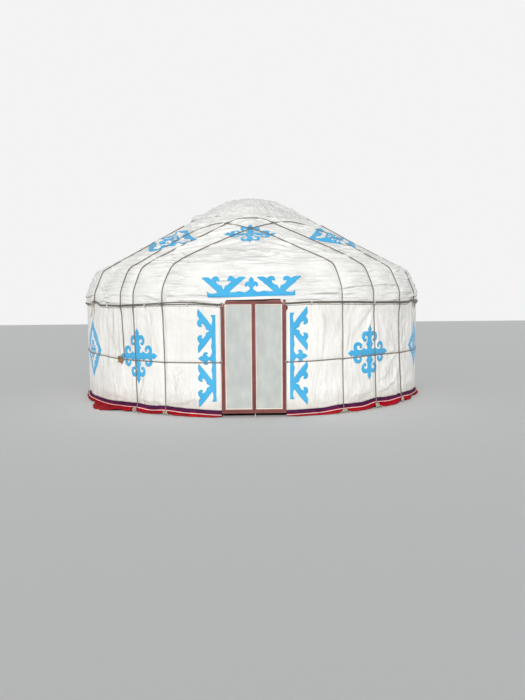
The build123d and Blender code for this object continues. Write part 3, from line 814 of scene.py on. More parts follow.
def crown_place(azimuth, share):
    rim = crown_rim(azimuth)
    radius = rim * (1 - share)
    outer = rise(radius, 0.75, 1.05)
    turned = azimuth * 3.24 / 1.3
    fold = 0.026 * between(radius, [(0.3, 0.2), (1.0, 1.0)]) * crease(turned, radius, 0.7, 2.5, 22)
    fold += 0.040 * tucks(azimuth, radius, 0.16, 2.4, 41) * rise(radius, 0.1, 0.4)
    fold += 0.014 * outer * ripple(azimuth, radius, 1.4, 0.5, 24)
    fold += 0.010 * rise(radius, 0.2, 0.6) * ripple(azimuth, radius, 2.0, 0.5, 25)
    raised = hump(signed(azimuth + 80), 20) * rise(radius, 1.0, 1.19)
    near_rim = rise(rim - radius, 0.0, 0.15)
    fold *= 0.3 + 0.7 * near_rim
    lift = 0.090 * raised * between(rim - radius, [(0.0, 0.15), (0.05, 1.0)])
    point = around(azimuth, radius, crown_height(radius) + max(fold, -0.008) + lift)
    return point, around(azimuth, 0.5, 0.87)


crown_cloth = Cloth(-180, 180, 288, 46, crown_place)
crown_canvas = canvas("layered_canvas", "#ecebe7", "#dbdad6", "#c9c2b6", (5.0, 2.5), 0.010)
crown_piece = cloth_piece(
    "crown_canvas", crown_cloth, 0, 1, (8.2, 1.33), [crown_canvas], 0.005
)
bm = bmesh.new()
bm.from_mesh(crown_piece.data)
bmesh.ops.remove_doubles(bm, verts=bm.verts, dist=1e-4)
bm.to_mesh(crown_piece.data)
bm.free()
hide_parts("crown_cover")
print("crown cover", len(crown_piece.data.vertices), "points")

# %% [markdown]
# Below the white wall hangs a skirt: a purple band, a white piping and a red cloth that flares to
# the ground and keeps out the draught. It is pulled up where a rope is tied and bulges out between
# the ropes. Band and cloth are sewn together, so they are one sheet with two finishes.

# %% Skirt
BAND = 0.056
BAND_SHARE = 0.6
SKIRT_W, SKIRT_H, SKIRT_MEAN_H = 4.9, 0.2, 0.17
TIED = [-57, -39.7, -34.6, -24.6, 25.2, 36.6, 50.5, 61]
tied_places = TIED + [signed(a + 180) for a in TIED]


def tied(azimuth, width):
    """How near a rope's foot is: 1 at the rope, 0 away from it."""
    return max(hump(signed(azimuth - place), width) for place in tied_places)


def skirt_place(azimuth, share):
    bottom = wall_bottom(azimuth)
    pull = tied(azimuth, 2.2)
    door = hump(min(azimuth - DOOR_EDGE, 360 - DOOR_EDGE - azimuth), 2.0)
    band_end = bottom - BAND - 0.012
    lowest = 0.002 + 0.035 * pull + 0.010 * door + 0.006 * abs(ripple(azimuth, 0, 0.3, 1, 31))
    bulge = 0.045 + 0.030 * ripple(azimuth, 0, 0.55, 1, 32) - 0.040 * pull - 0.030 * door
    bulge += 0.24 * hump(signed(azimuth + 46), 7.5) - 0.03 * hump(signed(azimuth - 75), 20)
    bulge = max(bulge, 0.0)
    if share > BAND_SHARE:
        step = (1 - share) / (1 - BAND_SHARE)
        height = bottom + 0.022 - step * (bottom + 0.022 - band_end)
        radius = 3.236 + 0.022 * step * step + 0.004 * step * ripple(azimuth, 0, 0.12, 1, 33)
    else:
        step = 1 - share / BAND_SHARE
        height = band_end + (lowest - band_end) * step
        belly = math.sin(step * math.pi / 2)
        creased = (0.010 + 0.10 * bulge) * belly * crease(azimuth, height, 0.16, 0.5, 34)
        radius = 3.258 + bulge * belly + creased
        radius += 0.004 * ripple(azimuth, height, 0.08, 0.05, 35) * step
    return around(azimuth, radius, height), around(azimuth, 1, 0)


skirt_cloth = Cloth(DOOR_EDGE, 360 - DOOR_EDGE, 680, 15, skirt_place)


def woven(name, dark, light, roughness, sheen):
    """A dyed cotton: patchy dye, and dust on its lower edge."""
    material, tree, shader, place = new_finish(
        name, roughness, Sheen_Weight=sheen, Specular_IOR_Level=0.12
    )
    patch = add_node(tree, "TexNoise", {"Vector": place, "Scale": 6, "Detail": 6})
    dyed = add_node(tree, "ValToRGB", {"Fac": patch}, [(0.35, dark), (0.65, light)])
    height = add_node(tree, "SeparateXYZ", {"Vector": place}).outputs["Z"]
    low = add_node(tree, "MapRange", dict(zip(RANGE, (height, 0, 0.04, 0.15, 0))))
    dirt = linear("#8a6f62")
    dusty = add_node(tree, "Mix", {"Factor": low, "A": dyed, "B": dirt}, data_type="RGBA")
    uv = add_node(tree, "UVMap", uv_map="UVMap")
    feed(tree, shader, {"Base Color": dusty, "Normal": weave_bump(tree, uv, 0.0025, 0.3, 0.0006)})
    return material


red_cotton = woven("dyed_red_cotton", "#7a0010", "#b4081e", 0.9, 0.0)
purple_cotton = woven("dyed_purple_cotton", "#350f33", "#521b47", 0.75, 0.0)
piping_cotton = woven("bleached_piping", "#d8d2cc", "#efebe6", 0.8, 0.2)
skirt_pieces = []
for number, side in enumerate(WALL_PIECES):
    piece = cloth_piece(
        f"skirt_cloth_{side}", skirt_cloth, number, 4, (SKIRT_W, SKIRT_H),
        [red_cotton, red_cotton, purple_cotton, purple_cotton], 0.0015,
    )
    piece.modifiers["thickness"].material_offset = 0
    band_row = round(BAND_SHARE * skirt_cloth.rows)
    layer = piece.data.uv_layers["UVMap"].data
    for polygon in piece.data.polygons:
        if layer[polygon.loop_start].uv.y > SKIRT_H * (band_row + 0.5) / skirt_cloth.rows:
            polygon.material_index = 2
    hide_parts(f"skirt_{side}")
    skirt_pieces.append(piece)
print(len(skirt_pieces), "skirts")

# %% [markdown]
# Ropes and piping are tubes along a line. Blender makes such a tube from a curve with a bevel
# depth, and its UV map runs along the line, which the twist of the strands needs. The map is
# stretched to metres, so that one twist has its real length.

# %% Tubes
def tube(name, lines, radius, finish, detail=2, closed=False):
    """Round tubes through the points of each line, as one mesh."""
    bm = bmesh.new()
    bm.loops.layers.uv.new("UVMap")
    for line in lines:
        data = bpy.data.curves.new(name, "CURVE")
        data.dimensions = "3D"
        data.bevel_depth = radius
        data.bevel_resolution = detail
        data.use_fill_caps = not closed
        spline = data.splines.new("POLY")
        spline.points.add(len(line) - 1)
        for point, place in zip(spline.points, line):
            point.co = (*place, 1)
        spline.use_cyclic_u = closed
        part = mesh_of(data)
        length = sum((b - a).length for a, b in zip(line, line[1:]))
        for layer in part.uv_layers:
            layer.name = "UVMap"
            for corner in layer.data:
                corner.uv = (corner.uv.x * length, corner.uv.y)
        bm.from_mesh(part)
        bpy.data.meshes.remove(part)
    bmesh.ops.remove_doubles(bm, verts=bm.verts, dist=1e-5)
    bmesh.ops.recalc_face_normals(bm, faces=bm.faces)
    for face in bm.faces:
        face.smooth = True
        face.material_index = 0
    return finished(name, bm, [finish])


# %% [markdown]
# The piping runs where band and red cloth meet.

# %% Piping
PIPING_R = 0.0055
quarter = skirt_cloth.columns // 4
for number, (side, skirt) in enumerate(zip(WALL_PIECES, skirt_pieces)):
    line = []
    for column in range(number * quarter, (number + 1) * quarter + 1):
        azimuth = skirt_cloth.start + (skirt_cloth.end - skirt_cloth.start) * column / skirt_cloth.columns
        line.append(skirt_cloth.at(min(azimuth, 360 - DOOR_EDGE - 0.01), BAND_SHARE, 0.003))
    piping = tube(
        f"skirt_piping_{side}", [line], PIPING_R, piping_cotton, 1
    )

# %% [markdown]
# Ornaments in light blue are cut from felt and sewn on: a border over the door and on its two
# sides, crosses with curled arms, and diamonds.

# %% Blue felt
blue_felt = two_toned(
    "blue_felt", 0.9, {"Scale": 2.5, "Detail": 5}, [(0.3, "#38a4d4"), (0.7, "#4db3e2")],
    nap=({"Scale": 160, "Detail": 4}, 0.4, 0.001), Sheen_Weight=0.25,
)

# %% [markdown]
# Each ornament is drawn flat, as closed outlines of soft and sharp points. The lists give right
# halves in millimetres, from the top down, and a 1 marks a sharp point.

# %% Ornament outlines
CURL = [
    (200, 155), (75, 265, 1), (143, 274), (190, 266), (222, 243, 1), (255, 268), (290, 279),
    (323, 270), (343, 245), (345, 215), (330, 200, 1), (307, 214), (297, 205), (317, 172),
    (350, 150), (373, 146), (385, 130),
]
BORDER_TIP = 405
BORDER_HALF = [
    (22, 245), (40, 215), (35, 190, 1), (50, 198), (75, 190), (95, 160), (90, 128), (70, 118, 1),
    (60, 140), (45, 130), (26, 110), (28, 92), (50, 75), (80, 60), (120, 58), (174, 70), (240, 60),
    (320, 62, 1), *CURL, (BORDER_TIP, 88, 1), *[(2 * BORDER_TIP - x, *rest) for x, *rest in CURL[::-1]],
    (490, 62, 1), (545, 48), (605, 52), (640, 72, 1), (640, 0, 1),
]
ARM_HALF = [
    (16, 418), (36, 390), (46, 364), (41, 345), (36, 322, 1), (64, 328), (98, 331), (134, 318),
    (158, 286), (166, 240), (156, 200), (130, 174), (96, 168), (72, 182), (66, 206), (82, 218),
    (101, 212), (112, 233), (102, 256), (72, 264), (47, 240), (42, 205), (47, 172), (62, 147),
    (74, 122), (58, 105), (50, 85), (52, 52, 1),
]


def mirrored(half):
    return [(-x, *rest) for x, *rest in half[::-1]]


def in_metres(points):
    return [(x / 1000, y / 1000, sharp) for x, y, *sharp in points]


border = in_metres([(0, 275, 1)] + BORDER_HALF + mirrored(BORDER_HALF))
arm = in_metres(mirrored(ARM_HALF) + [(0, 442, 1)] + ARM_HALF)
rosette = []
for quarter in range(4):
    turn = -quarter * math.pi / 2
    c, s = math.cos(turn), math.sin(turn)
    rosette += [(x * c - y * s, x * s + y * c, sharp) for x, y, sharp in arm[:-1]]
print(len(border), "points in a border,", len(rosette), "in a rosette")


def diamond(width, height, band, curl):
    """A rhombus frame whose inner edge has two curls on each side, round a small rosette."""
    side = math.hypot(width, height)
    w, h = width - band * side / height, height - band * side / width
    corners = [(0, h), (w, 0), (0, -h), (-w, 0)]
    hole = []
    for (x0, y0), (x1, y1) in zip(corners, corners[1:] + corners[:1]):
        hole.append((x0, y0, 1))
        middle = math.hypot(x0 + x1, y0 + y1)
        for along, push, sharp in (
            (0.20, 0.0, 0), (0.27, 0.8, 0), (0.36, 1.0, 0), (0.42, 0.3, 1), (0.50, 1.3, 1),
            (0.58, 0.3, 1), (0.64, 1.0, 0), (0.73, 0.8, 0), (0.80, 0.0, 0),
        ):
            x, y = x0 + (x1 - x0) * along, y0 + (y1 - y0) * along
            hole.append((
                x - curl * push * (x0 + x1) / middle, y - curl * push * (y0 + y1) / middle, sharp
            ))
    share = 0.46 * min(width, height) / 0.442
    inner = [(x * share * width / height, y * share, sharp) for x, y, sharp in rosette]
    outer = [(0, height, 1), (width, 0, 1), (0, -height, 1), (-width, 0, 1)]
    return [outer, hole, inner]


# %% [markdown]
# The flat shape is filled, cut along the cloth's grid lines and then laid on the cloth, so that it
# follows every fold. The edges that the filling made are dissolved between the grid lines.

# %% Sewing on
def flat_shape(outlines, turn, scale):
    """A filled flat mesh of closed outlines; outlines inside others are holes."""
    data = bpy.data.curves.new("outline", "CURVE")
    data.dimensions = "2D"
    data.fill_mode = "BOTH"
    for outline in outlines:
        spline = data.splines.new("BEZIER")
        spline.bezier_points.add(len(outline) - 1)
        spline.use_cyclic_u = True
        spline.resolution_u = 3
        for point, (x, y, sharp) in zip(spline.bezier_points, outline):
            point.co = (x * scale[0], y * scale[1], 0)
            kind = "VECTOR" if sharp else "AUTO"
            point.handle_left_type = point.handle_right_type = kind
    mesh = mesh_of(data)
    bm = bmesh.new()
    bm.from_mesh(mesh)
    bpy.data.meshes.remove(mesh)
    bmesh.ops.rotate(bm, verts=bm.verts, matrix=Matrix.Rotation(turn, 3, "Z"))
    bmesh.ops.remove_doubles(bm, verts=bm.verts, dist=1e-5)
    return bm


def wall_spot(azimuth, middle, x, y):
    """Where a point of a flat shape comes: azimuth, and share of the cloth's height."""
    there = azimuth + math.degrees(x / WALL_R)
    bottom = wall_bottom(there)
    return there, (middle + y - bottom) / (WALL_TOP - bottom)


def roof_spot(azimuth, middle, x, y):
    there = azimuth + math.degrees(x / roof_profile(middle + y)[0])
    return there, roof_share_of(middle + y)


def sew_on(name, outlines, turn, scale, cloth, spot, azimuth, middle):
    """Lays a flat shape on a cloth: x goes round the tent from azimuth, y goes up it."""
    bm = flat_shape(outlines, turn, scale)
    for vertex in bm.verts:
        vertex.co = (*spot(azimuth, middle, vertex.co.x, vertex.co.y), 0)
    span = (cloth.end - cloth.start) / cloth.columns
    lows = [min(v.co[axis] for v in bm.verts) for axis in (0, 1)]
    highs = [max(v.co[axis] for v in bm.verts) for axis in (0, 1)]
    grid = ((0, cloth.start, span), (1, 0.0, 1 / cloth.rows))
    for axis, start, step in grid:
        number = math.ceil((lows[axis] - start) / step)
        while start + number * step < highs[axis]:
            point, normal = Vector(), Vector()
            point[axis], normal[axis] = start + number * step, 1.0
            geometry = bm.verts[:] + bm.edges[:] + bm.faces[:]
            bmesh.ops.bisect_plane(bm, geom=geometry, dist=1e-6, plane_co=point, plane_no=normal)
            number += 1
    spare = []
    for edge in bm.edges:
        a, b = edge.verts[0].co, edge.verts[1].co
        on_grid = any(
            abs(a[axis] - b[axis]) < 1e-3 * step
            and abs((a[axis] - start) / step - round((a[axis] - start) / step)) < 1e-3
            for axis, start, step in grid
        )
        if len(edge.link_faces) == 2 and not on_grid:
            spare.append(edge)
    bmesh.ops.dissolve_edges(bm, edges=spare, use_verts=False)
    spare = [
        vertex for vertex in bm.verts
        if len(vertex.link_edges) == 2 and all(len(edge.link_faces) == 2 for edge in vertex.link_edges)
    ]
    bmesh.ops.dissolve_verts(bm, verts=spare)
    for face in bm.faces:
        face.normal_update()
        face.smooth = True
        if face.normal.z < 0:
            face.normal_flip()
    for vertex in bm.verts:
        vertex.co = cloth.at(vertex.co.x, vertex.co.y, 0.002)
    piece = finished(name, bm, [blue_felt], 0.0012)
    piece.modifiers["thickness"].offset = 1
    return piece


# %% [markdown]
# The front's places are read from the photo. The back is a guess: its crosses and diamonds stand
# about where the front's do, and it has no borders, since it has no door. A wall ornament is given
# with its middle's height, a roof ornament with its middle's distance from the tent's axis.

# %% Ornaments on walls and roof
for name, outlines, turn, scale, azimuth, middle in (
    ("rosette_wall_front_left", [rosette], 0.03, (0.905, 0.985), -33.8, 0.880),
    ("rosette_wall_front_right", [rosette], 0, (1.01, 1), 34.2, 0.903),
    ("rosette_wall_back_left", [rosette], 0, (0.96, 0.98), -146, 0.89),
    ("rosette_wall_back_right", [rosette], 0, (0.96, 0.98), 146, 0.89),
    ("border_wall_front_left", [border], math.pi / 2, (1, 1), -9.85, 0.87),
    ("border_wall_front_right", [border], -math.pi / 2, (1, 1), 9.42, 0.895),
    ("diamond_wall_front_left", diamond(0.42, 0.50, 0.098, 0.04), 0, (1, 1), -59.2, 0.93),
    ("diamond_wall_front_right", diamond(0.44, 0.42, 0.098, 0.04), 0, (1, 1), 63.9, 0.955),
    ("diamond_wall_back_left", diamond(0.43, 0.46, 0.098, 0.04), 0, (1, 1), -119, 0.94),
    ("diamond_wall_back_right", diamond(0.43, 0.46, 0.098, 0.04), 0, (1, 1), 119, 0.94),
):
    sew_on(name, outlines, turn, scale, wall_cloth, wall_spot, azimuth % 360, middle)
middle = roof_length_at(height=1.784)
sew_on(
    "border_roof_front", [border], 0.012, (1, 1.05), roof_cloth, roof_spot, -0.4, middle
)
ROOF_DIAMOND = diamond(0.72, 0.44, 0.085, 0.06)
for name, outlines, turn, scale, azimuth, radius in (
    ("rosette_roof_front", [rosette], 0, (0.98, 0.94), -1, 2.12),
    ("rosette_roof_right", [rosette], 0, (0.98, 0.94), 90, 2.12),
    ("rosette_roof_back", [rosette], 0, (0.98, 0.94), 180, 2.12),
    ("rosette_roof_left", [rosette], 0, (0.98, 0.94), 270, 2.12),
    ("diamond_roof_front_left", ROOF_DIAMOND, -0.16, (1, 1), -40.5, 2.2),
    ("diamond_roof_front_right", ROOF_DIAMOND, 0.16, (1, 1), 43, 2.13),
    ("diamond_roof_back_left", ROOF_DIAMOND, 0.16, (1, 1), -137, 2.15),
    ("diamond_roof_back_right", ROOF_DIAMOND, -0.16, (1, 1), 137, 2.15),
):
    middle = roof_length_at(radius=radius)
    sew_on(name, outlines, turn, scale, roof_cloth, roof_spot, azimuth, middle)

# %% [markdown]

# %% [markdown]
# The ropes are laid from plant fibre, three strands twisted together, grey-brown from the weather.
# The strands are drawn by the material: slanting bands on the UV map, one twist every 45 mm, and
# painted shade in the grooves between them.

# %% Rope finish
TWIST = 0.045


def rope_finish(name, dark, light):
    """Three strands, slanting on the map that runs along the rope, with painted shade in the grooves
    between them.
    """
    material, tree, shader, place = new_finish(name, 0.9, Sheen_Weight=0.2)
    split = add_node(tree, "SeparateXYZ", {"Vector": add_node(tree, "UVMap", uv_map="UVMap")})
    along = add_node(tree, "Math", {0: split, 1: 3 / TWIST}, operation="MULTIPLY")
    twist = add_node(tree, "Math", {0: split.outputs["Y"], 1: 3, 2: along}, operation="MULTIPLY_ADD")
    strand = add_node(tree, "Math", {0: twist, 1: 0.5}, operation="PINGPONG")
    lay = add_node(
        tree, "MapRange", dict(zip(RANGE, (strand, 0, 0.5))), interpolation_type="SMOOTHSTEP"
    )
    fibre = add_node(tree, "TexNoise", {"Vector": place, "Scale": 60, "Detail": 5})
    # The grooves between strands are darker in colour: painted shade, times the fibre's own patchy tone.
    wear_and_groove_shade = add_node(tree, "Math", {0: lay, 1: fibre}, operation="MULTIPLY")
    tone = add_node(tree, "ValToRGB", {"Fac": wear_and_groove_shade}, [(0.08, dark), (0.5, light)])
    bump = add_node(tree, "Bump", {"Height": lay, "Strength": 0.8, "Distance": 0.003})
    feed(tree, shader, {"Base Color": tone, "Normal": bump})
    return material


grey_rope = rope_finish("weathered_fibre_rope", "#5c544a", "#9f9689")
# The eave rope's finish is darker than the others: its own grey-brown plus painted shade from the roof's
# hem over it.
shade_darkened_rope = rope_finish("shade_darkened_fibre_rope", "#4a4239", "#857b6d")


# %% [markdown]
# A rope is taut: where a fold holds it up it stands off the cloth beside the fold, and where it
# meets a rope that is already laid it goes over that one.

# %% Roof and wall ropes
def cloth_point(azimuth, place, lift):
    """A point on the folded cloth, where a place below zero is on the wall."""
    if place < 0:
        height = place + HEM_Z
        bottom = wall_bottom(azimuth)
        share = (height - bottom) / (WALL_TOP - bottom)
        lean = 0.018 * rise(height, 1.5, 1.655)
        return wall_cloth.at(azimuth, share, lift + lean)
    return roof_cloth.at(azimuth, roof_share_of(place), lift)


def foot(azimuth):
    """A rope's last stretch, over the skirt up from its knot."""
    shares = (0.1, 0.3, 0.5, 0.65, 0.85)
    return [skirt_cloth.at(azimuth, share, ROPE_R + 0.002) for share in shares]


def bridged(guide):
    """How far a taut rope stands off the cloth at each of its points, where a fold holds it up."""
    levels = []
    for point in guide:
        bare = bare_point(point.x, point.y)
        out = (bare_point(point.x, point.y, 0.1) - bare) * 10
        levels.append((cloth_point(point.x, point.y, 0.0) - bare).dot(out))
    stands = []
    held = [max(levels[max(0, i - 3):i + 4]) for i in range(len(levels))]
    for i, level in enumerate(levels):
        near = held[max(0, i - 2):i + 3]
        stands.append(max(0.0, sum(near) / len(near) - level))
    return stands


DOWN_TO_FOOT = -1.3
ROPE_STEP = 0.018
laid = kdtree.KDTree(20000)
laid_count = 0
rope_names = ["a", "b", "c", "crown_left", "crown_right"]
for number, guide in enumerate(rope_guides):
    line = []
    for point, stand in zip(guide, bridged(guide)):
        base = cloth_point(point.x, point.y, 0.0)
        lift = ROPE_R + 0.001 + stand
        if laid_count:
            gap = laid.find(base)[2]
            lift += 2 * ROPE_R * hump(max(0.0, gap - ROPE_R), 0.03)
        line.append(cloth_point(point.x, point.y, lift))
    if guide[0].y < DOWN_TO_FOOT:
        line = foot(guide[0].x) + line
    if guide[-1].y < DOWN_TO_FOOT:
        line += foot(guide[-1].x)[::-1]
    smooth = [line[0]]
    for place in line[1:]:
        if (place - smooth[-1]).length > ROPE_STEP:
            smooth.append(place)
    for point in guide:
        laid.insert(cloth_point(point.x, point.y, 0.0), laid_count)
        laid_count += 1
    laid.balance()
    half = "front" if number < len(ROPE_ROUTES) else "back"
    name = f"rope_{half}_{rope_names[number % len(ROPE_ROUTES)]}"
    tube(name, [smooth], ROPE_R, grey_rope)
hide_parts("roof_ropes_front", "wall_ropes")
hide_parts("roof_ropes_back")

# %% [markdown]
# Two ropes go round the whole tent from jamb to jamb, over the upright ropes: the belt rope, and
# the eave rope in two turns.

# %% Belt rope and eave rope
EAVE_ROPE_R = 0.0065


def ring_line(heights, first, last, step, lift, extra=None):
    """A rope round the tent between two azimuths, over the ropes that it crosses."""
    line = []
    count = round((last - first) / step)
    for number in range(count + 1):
        azimuth = first + (last - first) * number / count
        height = between(signed(azimuth), heights)
        height += between(signed(azimuth), extra) if extra else 0.0
        place = height - HEM_Z
        if height > HEM_Z:
            low, high = 0.0, 0.3
            for _ in range(12):
                place = (low + high) / 2
                if cloth_point(azimuth, place, 0.0).z < height:
                    low = place
                else:
                    high = place
        base = cloth_point(azimuth, place, 0.0)
        gap = laid.find(base)[2]
        over = 2 * ROPE_R * hump(max(0.0, gap - ROPE_R), 0.035)
        line.append(cloth_point(azimuth, place, lift + over))
    return line


belt = ring_line(BELT_LINE, 8.5, 351.5, 0.4, ROPE_R + 0.001)
belt_rope = tube("rope_belt", [belt], ROPE_R, grey_rope)
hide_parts("belt_rope")
SECOND_TURN = [
    (-180, 0.014), (-60, 0.016), (-47, 0.014), (-30, 0.020), (-20, 0.030), (-12, 0.018), (0, 0.013),
    (12, 0.013), (60, 0.020), (180, 0.014),
]
turns = [
    ring_line(EAVE_LINE, 8.3, 351.7, 0.4, ROPE_R + 0.001),
    ring_line(EAVE_LINE, 8.3, 351.7, 0.4, ROPE_R + 0.001, SECOND_TURN),
]
# Its darker finish is partly painted shade from the roof's hem above it.
eave_rope = tube("rope_eave", turns, EAVE_ROPE_R, shade_darkened_rope)
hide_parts("eave_rope")
print("belt and eave rope of", len(belt), "and", 2 * len(turns[0]), "points")

# %% [markdown]
# Each rope ends in a knot: a small bundle of loops with loose tails.

# %% Knots
pale_cord = rope_finish("pale_cotton_cord", "#a2957f", "#ddd4c4")
gold_cord = rope_finish("golden_hemp_cord", "#7a5a35", "#c39c66")


def bundle(place, azimuth, size, thick, loops, tails):
    """Lines of a knot: loops that wind about a place, and tails as (aside, drop) from it."""
    out, side, up = around(azimuth, 1, 0), around(azimuth + 90, 1, 0), Vector((0, 0, 1))
    coil = []
    for number in range(loops * 14 + 1):
        turn = 2 * math.pi * number / 14
        reach = size * (0.72 + 0.28 * math.sin(1.37 * turn + azimuth))
        depth = thick * (1.0 + 0.9 * math.sin(2.31 * turn + azimuth) + 0.35 * turn / loops)
        coil.append(
            place + side * reach * math.cos(turn) + up * 0.8 * reach * math.sin(turn) + out * depth
        )
    lines = [coil]
    for aside, drop in tails:
        tail = []
        for number in range(9):
            share = number / 8
            bend = 0.15 * drop * math.sin(share * 5 + azimuth)
            point = place + side * (aside * share + bend * share) - up * drop * share * (1.3 - 0.3 * share)
            point += out * (thick + 0.5 * abs(aside) * share * share)
            point.z = max(point.z, thick)
            tail.append(point)
        lines.append(tail)
    return lines


# %% [markdown]
# The belt rope has a big knot where it was drawn tight and a small one at each jamb. The crown
# cover's ropes end at the eave.

# %% Tied places
knots = []
for name, azimuth, tails in (
    ("a", -34.3, [(0.17, 0.07), (0.10, 0.11)]), ("b", -24.4, [(0.12, 0.05), (0.07, 0.09)]),
    ("c", 24.9, [(-0.20, 0.05), (0.20, 0.06)]), ("d", 36.9, [(0.16, 0.05), (-0.09, 0.06)]),
    ("e", 50.4, [(0.05, 0.06)]),
):
    for turn, half in ((0, "front"), (180, "back")):
        place = skirt_cloth.at(azimuth + turn, 0.12, 0.006)
        lines = bundle(place, azimuth + turn, 0.038, 0.008, 3, tails)
        knots.append(tube(f"knot_foot_{half}_{name}", lines, 0.006, pale_cord, 1))
for name, azimuth, tails in (
    ("left", -56.2, [(0.02, 0.20), (-0.03, 0.24)]), ("right", 59.5, [(-0.02, 0.10), (0.05, 0.03)]),
    ("back_left", 124.4, [(0.02, 0.18)]), ("back_right", -119.5, [(-0.02, 0.12)]),
):
    place = ring_line(EAVE_LINE, azimuth, azimuth + 0.1, 0.1, 0.02, [(0, -0.03)])[0]
    cord = grey_rope if name == "right" else pale_cord
    lines = bundle(place, azimuth, 0.036, 0.009, 3, tails)
    knots.append(tube(f"knot_eave_{name}", lines, 0.0075, cord, 1))
place = cloth_point(-40.6, 0.815 - HEM_Z, 0.012)
tangle = bundle(place, -40.3, 0.068, 0.009, 5, [(0.07, 0.04), (-0.06, 0.05), (0.02, 0.08)])
knots.append(tube("knot_belt", tangle, 0.007, gold_cord, 1))
for name, azimuth in (("left", -8.75), ("right", 8.75)):
    place = cloth_point(azimuth, 0.812 - HEM_Z, 0.004)
    lines = bundle(place, azimuth, 0.013, 0.004, 2, [])
    knots.append(tube(f"knot_jamb_{name}", lines, 0.0045, grey_rope, 1))
print(len(knots), "knots")

# %% [markdown]
# One loose end hangs down the right wall, and short white tapes hold the roof's hem to the eave
# rope.

# %% Loose end and tapes
TAIL_LINE = [(0.12, 50.5), (0.35, 50.1), (0.6, 49.4), (0.86, 48.9)]
tail = []
for number in range(26):
    height = 0.13 + 0.029 * number
    azimuth = between(height, TAIL_LINE) + 0.16 * math.sin(height * 60)
    tail.append(cloth_point(azimuth, height - HEM_Z, 0.014 + 0.006 * math.cos(height * 60)))
tube("rope_tail_right", [tail], 0.0055, grey_rope, 1)
tapes = []
for azimuth in (-46.3, -30.3, -17.2, 15.2, 35.2, 133.7, 149.7, 162.8, -164.8, -144.8):
    middle = ring_line(EAVE_LINE, azimuth, azimuth + 0.1, 0.1, ROPE_R + 0.004)[0]
    out, up = around(azimuth, 1, 0), Vector((0, 0, 1))
    tapes.append([
        middle + (out * math.cos(turn) + up * math.sin(turn)) * 0.017
        for turn in [2 * math.pi * n / 10 for n in range(10)]
    ])
tube("eave_tapes", tapes, 0.007, piping_cotton, 1, closed=True)
print(len(tapes), "tapes")

# %% [markdown]
# The door frame and leaves are softwood under red-brown gloss paint, brushed on. The panels are
# grey painted sheet, smudged by hands, held by thin cream beads.

# %% Door finishes
def brushed_paint(name, dark, light, roughness, grain, bare_below=None):
    """Brushed gloss paint with faint streaks along z, down to bare metal below a height."""
    material, tree, shader, place = new_finish(name, roughness, Coat_Weight=0.1)
    stretched = add_node(tree, "Mapping", {"Vector": place, "Scale": grain})
    streak = add_node(tree, "TexNoise", {"Vector": stretched, "Scale": 1, "Detail": 6})
    patch = add_node(tree, "TexNoise", {"Vector": place, "Scale": 5, "Detail": 4})
    both = add_node(tree, "Math", {0: streak, 1: patch}, operation="MULTIPLY")
    tone = add_node(tree, "ValToRGB", {"Fac": both}, [(0.15, dark), (0.4, light)])
    if bare_below:
        height = add_node(tree, "SeparateXYZ", {"Vector": place}).outputs["Z"]
        wear_and_groove_shade = add_node(tree, "Math", {0: height, 1: bare_below}, operation="LESS_THAN")
        metal = linear("#c9c6c0")
        tone = add_node(tree, "Mix", {"Factor": wear_and_groove_shade, "A": tone, "B": metal}, data_type="RGBA")
    bump = add_node(tree, "Bump", {"Height": streak, "Strength": 0.15, "Distance": 0.001})
    feed(tree, shader, {"Base Color": tone, "Normal": bump})
    return material


FRAME_PAINT = ("#6e322d", "#884740", 0.45, (90, 90, 3))
door_paint = brushed_paint("red_brown_gloss", *FRAME_PAINT)
painted_bolt = brushed_paint("painted_bolt", *FRAME_PAINT, bare_below=0.056)
panel_paint = brushed_paint("grey_panel_paint", "#b1b5b1", "#c0c3be", 0.5, (12, 12, 4))
bead_paint = brushed_paint("cream_bead_paint", "#d9d2c2", "#ebe5d7", 0.5, (80, 80, 3))
steel = two_toned(
    "zinc_plated_steel", 0.4, {"Scale": 45, "Detail": 6}, [(0.35, "#8d8a86"), (0.65, "#b9b8b5")],
    Metallic=1.0,
)


def give(finish, *names):
    for name in names:
        for slot in cad_nodes[name].material_slots:
            slot.material = finish


give(door_paint, "door_header", "door_sill", "door_jamb_left", "door_jamb_right")
give(door_paint, "left_jamb_hinges", "right_jamb_hinges")
for leaf in ("left_leaf", "right_leaf"):
    give(door_paint, f"{leaf}_frame", f"{leaf}_hinges")
    give(panel_paint, f"{leaf}_panel")
    give(bead_paint, f"{leaf}_beads")
give(painted_bolt, "right_leaf_bolts")
give(steel, "door_staples")

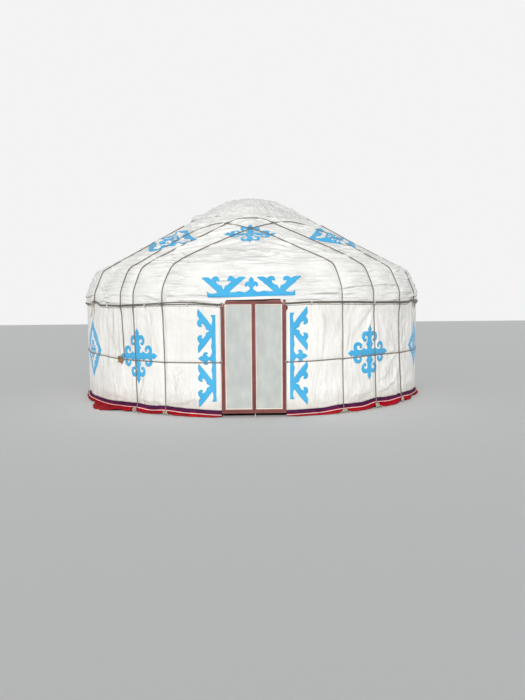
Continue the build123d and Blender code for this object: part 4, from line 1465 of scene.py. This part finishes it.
# %% [markdown]
# The frame of the tent is willow and birch, planed by hand and stained red, as it usually is. Grain
# runs along every bar; with bars that lean every way, a fine noise in all directions stands for it.

# %% Wood
wood = two_toned(
    "stained_willow", 0.6, {"Scale": 25, "Detail": 8, "Distortion": 1},
    [(0.3, "#7a2f1d"), (0.7, "#a4472c")],
)
wooden = [name for name in cad_nodes if name.startswith(("lattice_", "roof_poles_", "crown_r"))]
give(wood, "door_lintel", *wooden)
print(len(wooden) + 1, "wooden nodes")

# %% [markdown]
# A pale floor and an even sky stand for the place. The sun of the photo, low behind the camera,
# becomes a large soft lamp; the sky's light fills the shadows. The background is white only to the
# camera and in reflections, so it doesn't light the tent.

# %% Floor, lamps and sky
bm = bmesh.new()
bmesh.ops.create_grid(bm, x_segments=1, y_segments=1, size=60)
bmesh.ops.translate(bm, verts=bm.verts, vec=(0, 0, -0.001))
floor_mesh = bpy.data.meshes.new("floor")
bm.to_mesh(floor_mesh)
bm.free()
floor = bpy.data.objects.new("floor", floor_mesh)
bpy.context.scene.collection.objects.link(floor)
floor_finish, tree, shader, place = new_finish("pale_floor", 0.9)
shader.inputs["Base Color"].default_value = linear("#d9d9d8")
floor_mesh.materials.append(floor_finish)

sun = bpy.data.objects.new("sun", bpy.data.lights.new("sun", "SUN"))
bpy.context.scene.collection.objects.link(sun)
sun.data.energy = 2.68
sun.data.angle = math.radians(3)
sun.rotation_euler = (math.radians(66), 0, math.radians(-5))

world = bpy.data.worlds.new("sky")
bpy.context.scene.world = world
world.use_nodes = True
tree = world.node_tree
sky_light = tree.nodes["Background"]
sky_light.inputs["Color"].default_value = linear("#f4f7fb")
sky_light.inputs["Strength"].default_value = 0.32
seen = add_node(tree, "Background", {"Color": linear("#ffffff"), "Strength": 0.9})
path = add_node(tree, "LightPath")
camera_ray, glossy_ray = path.outputs["Is Camera Ray"], path.outputs["Is Glossy Ray"]
either = add_node(tree, "Math", {0: camera_ray, 1: glossy_ray}, operation="MAXIMUM")
mixed = add_node(tree, "MixShader", {0: either, 1: sky_light, 2: seen})
feed(tree, tree.nodes["World Output"], {"Surface": mixed})
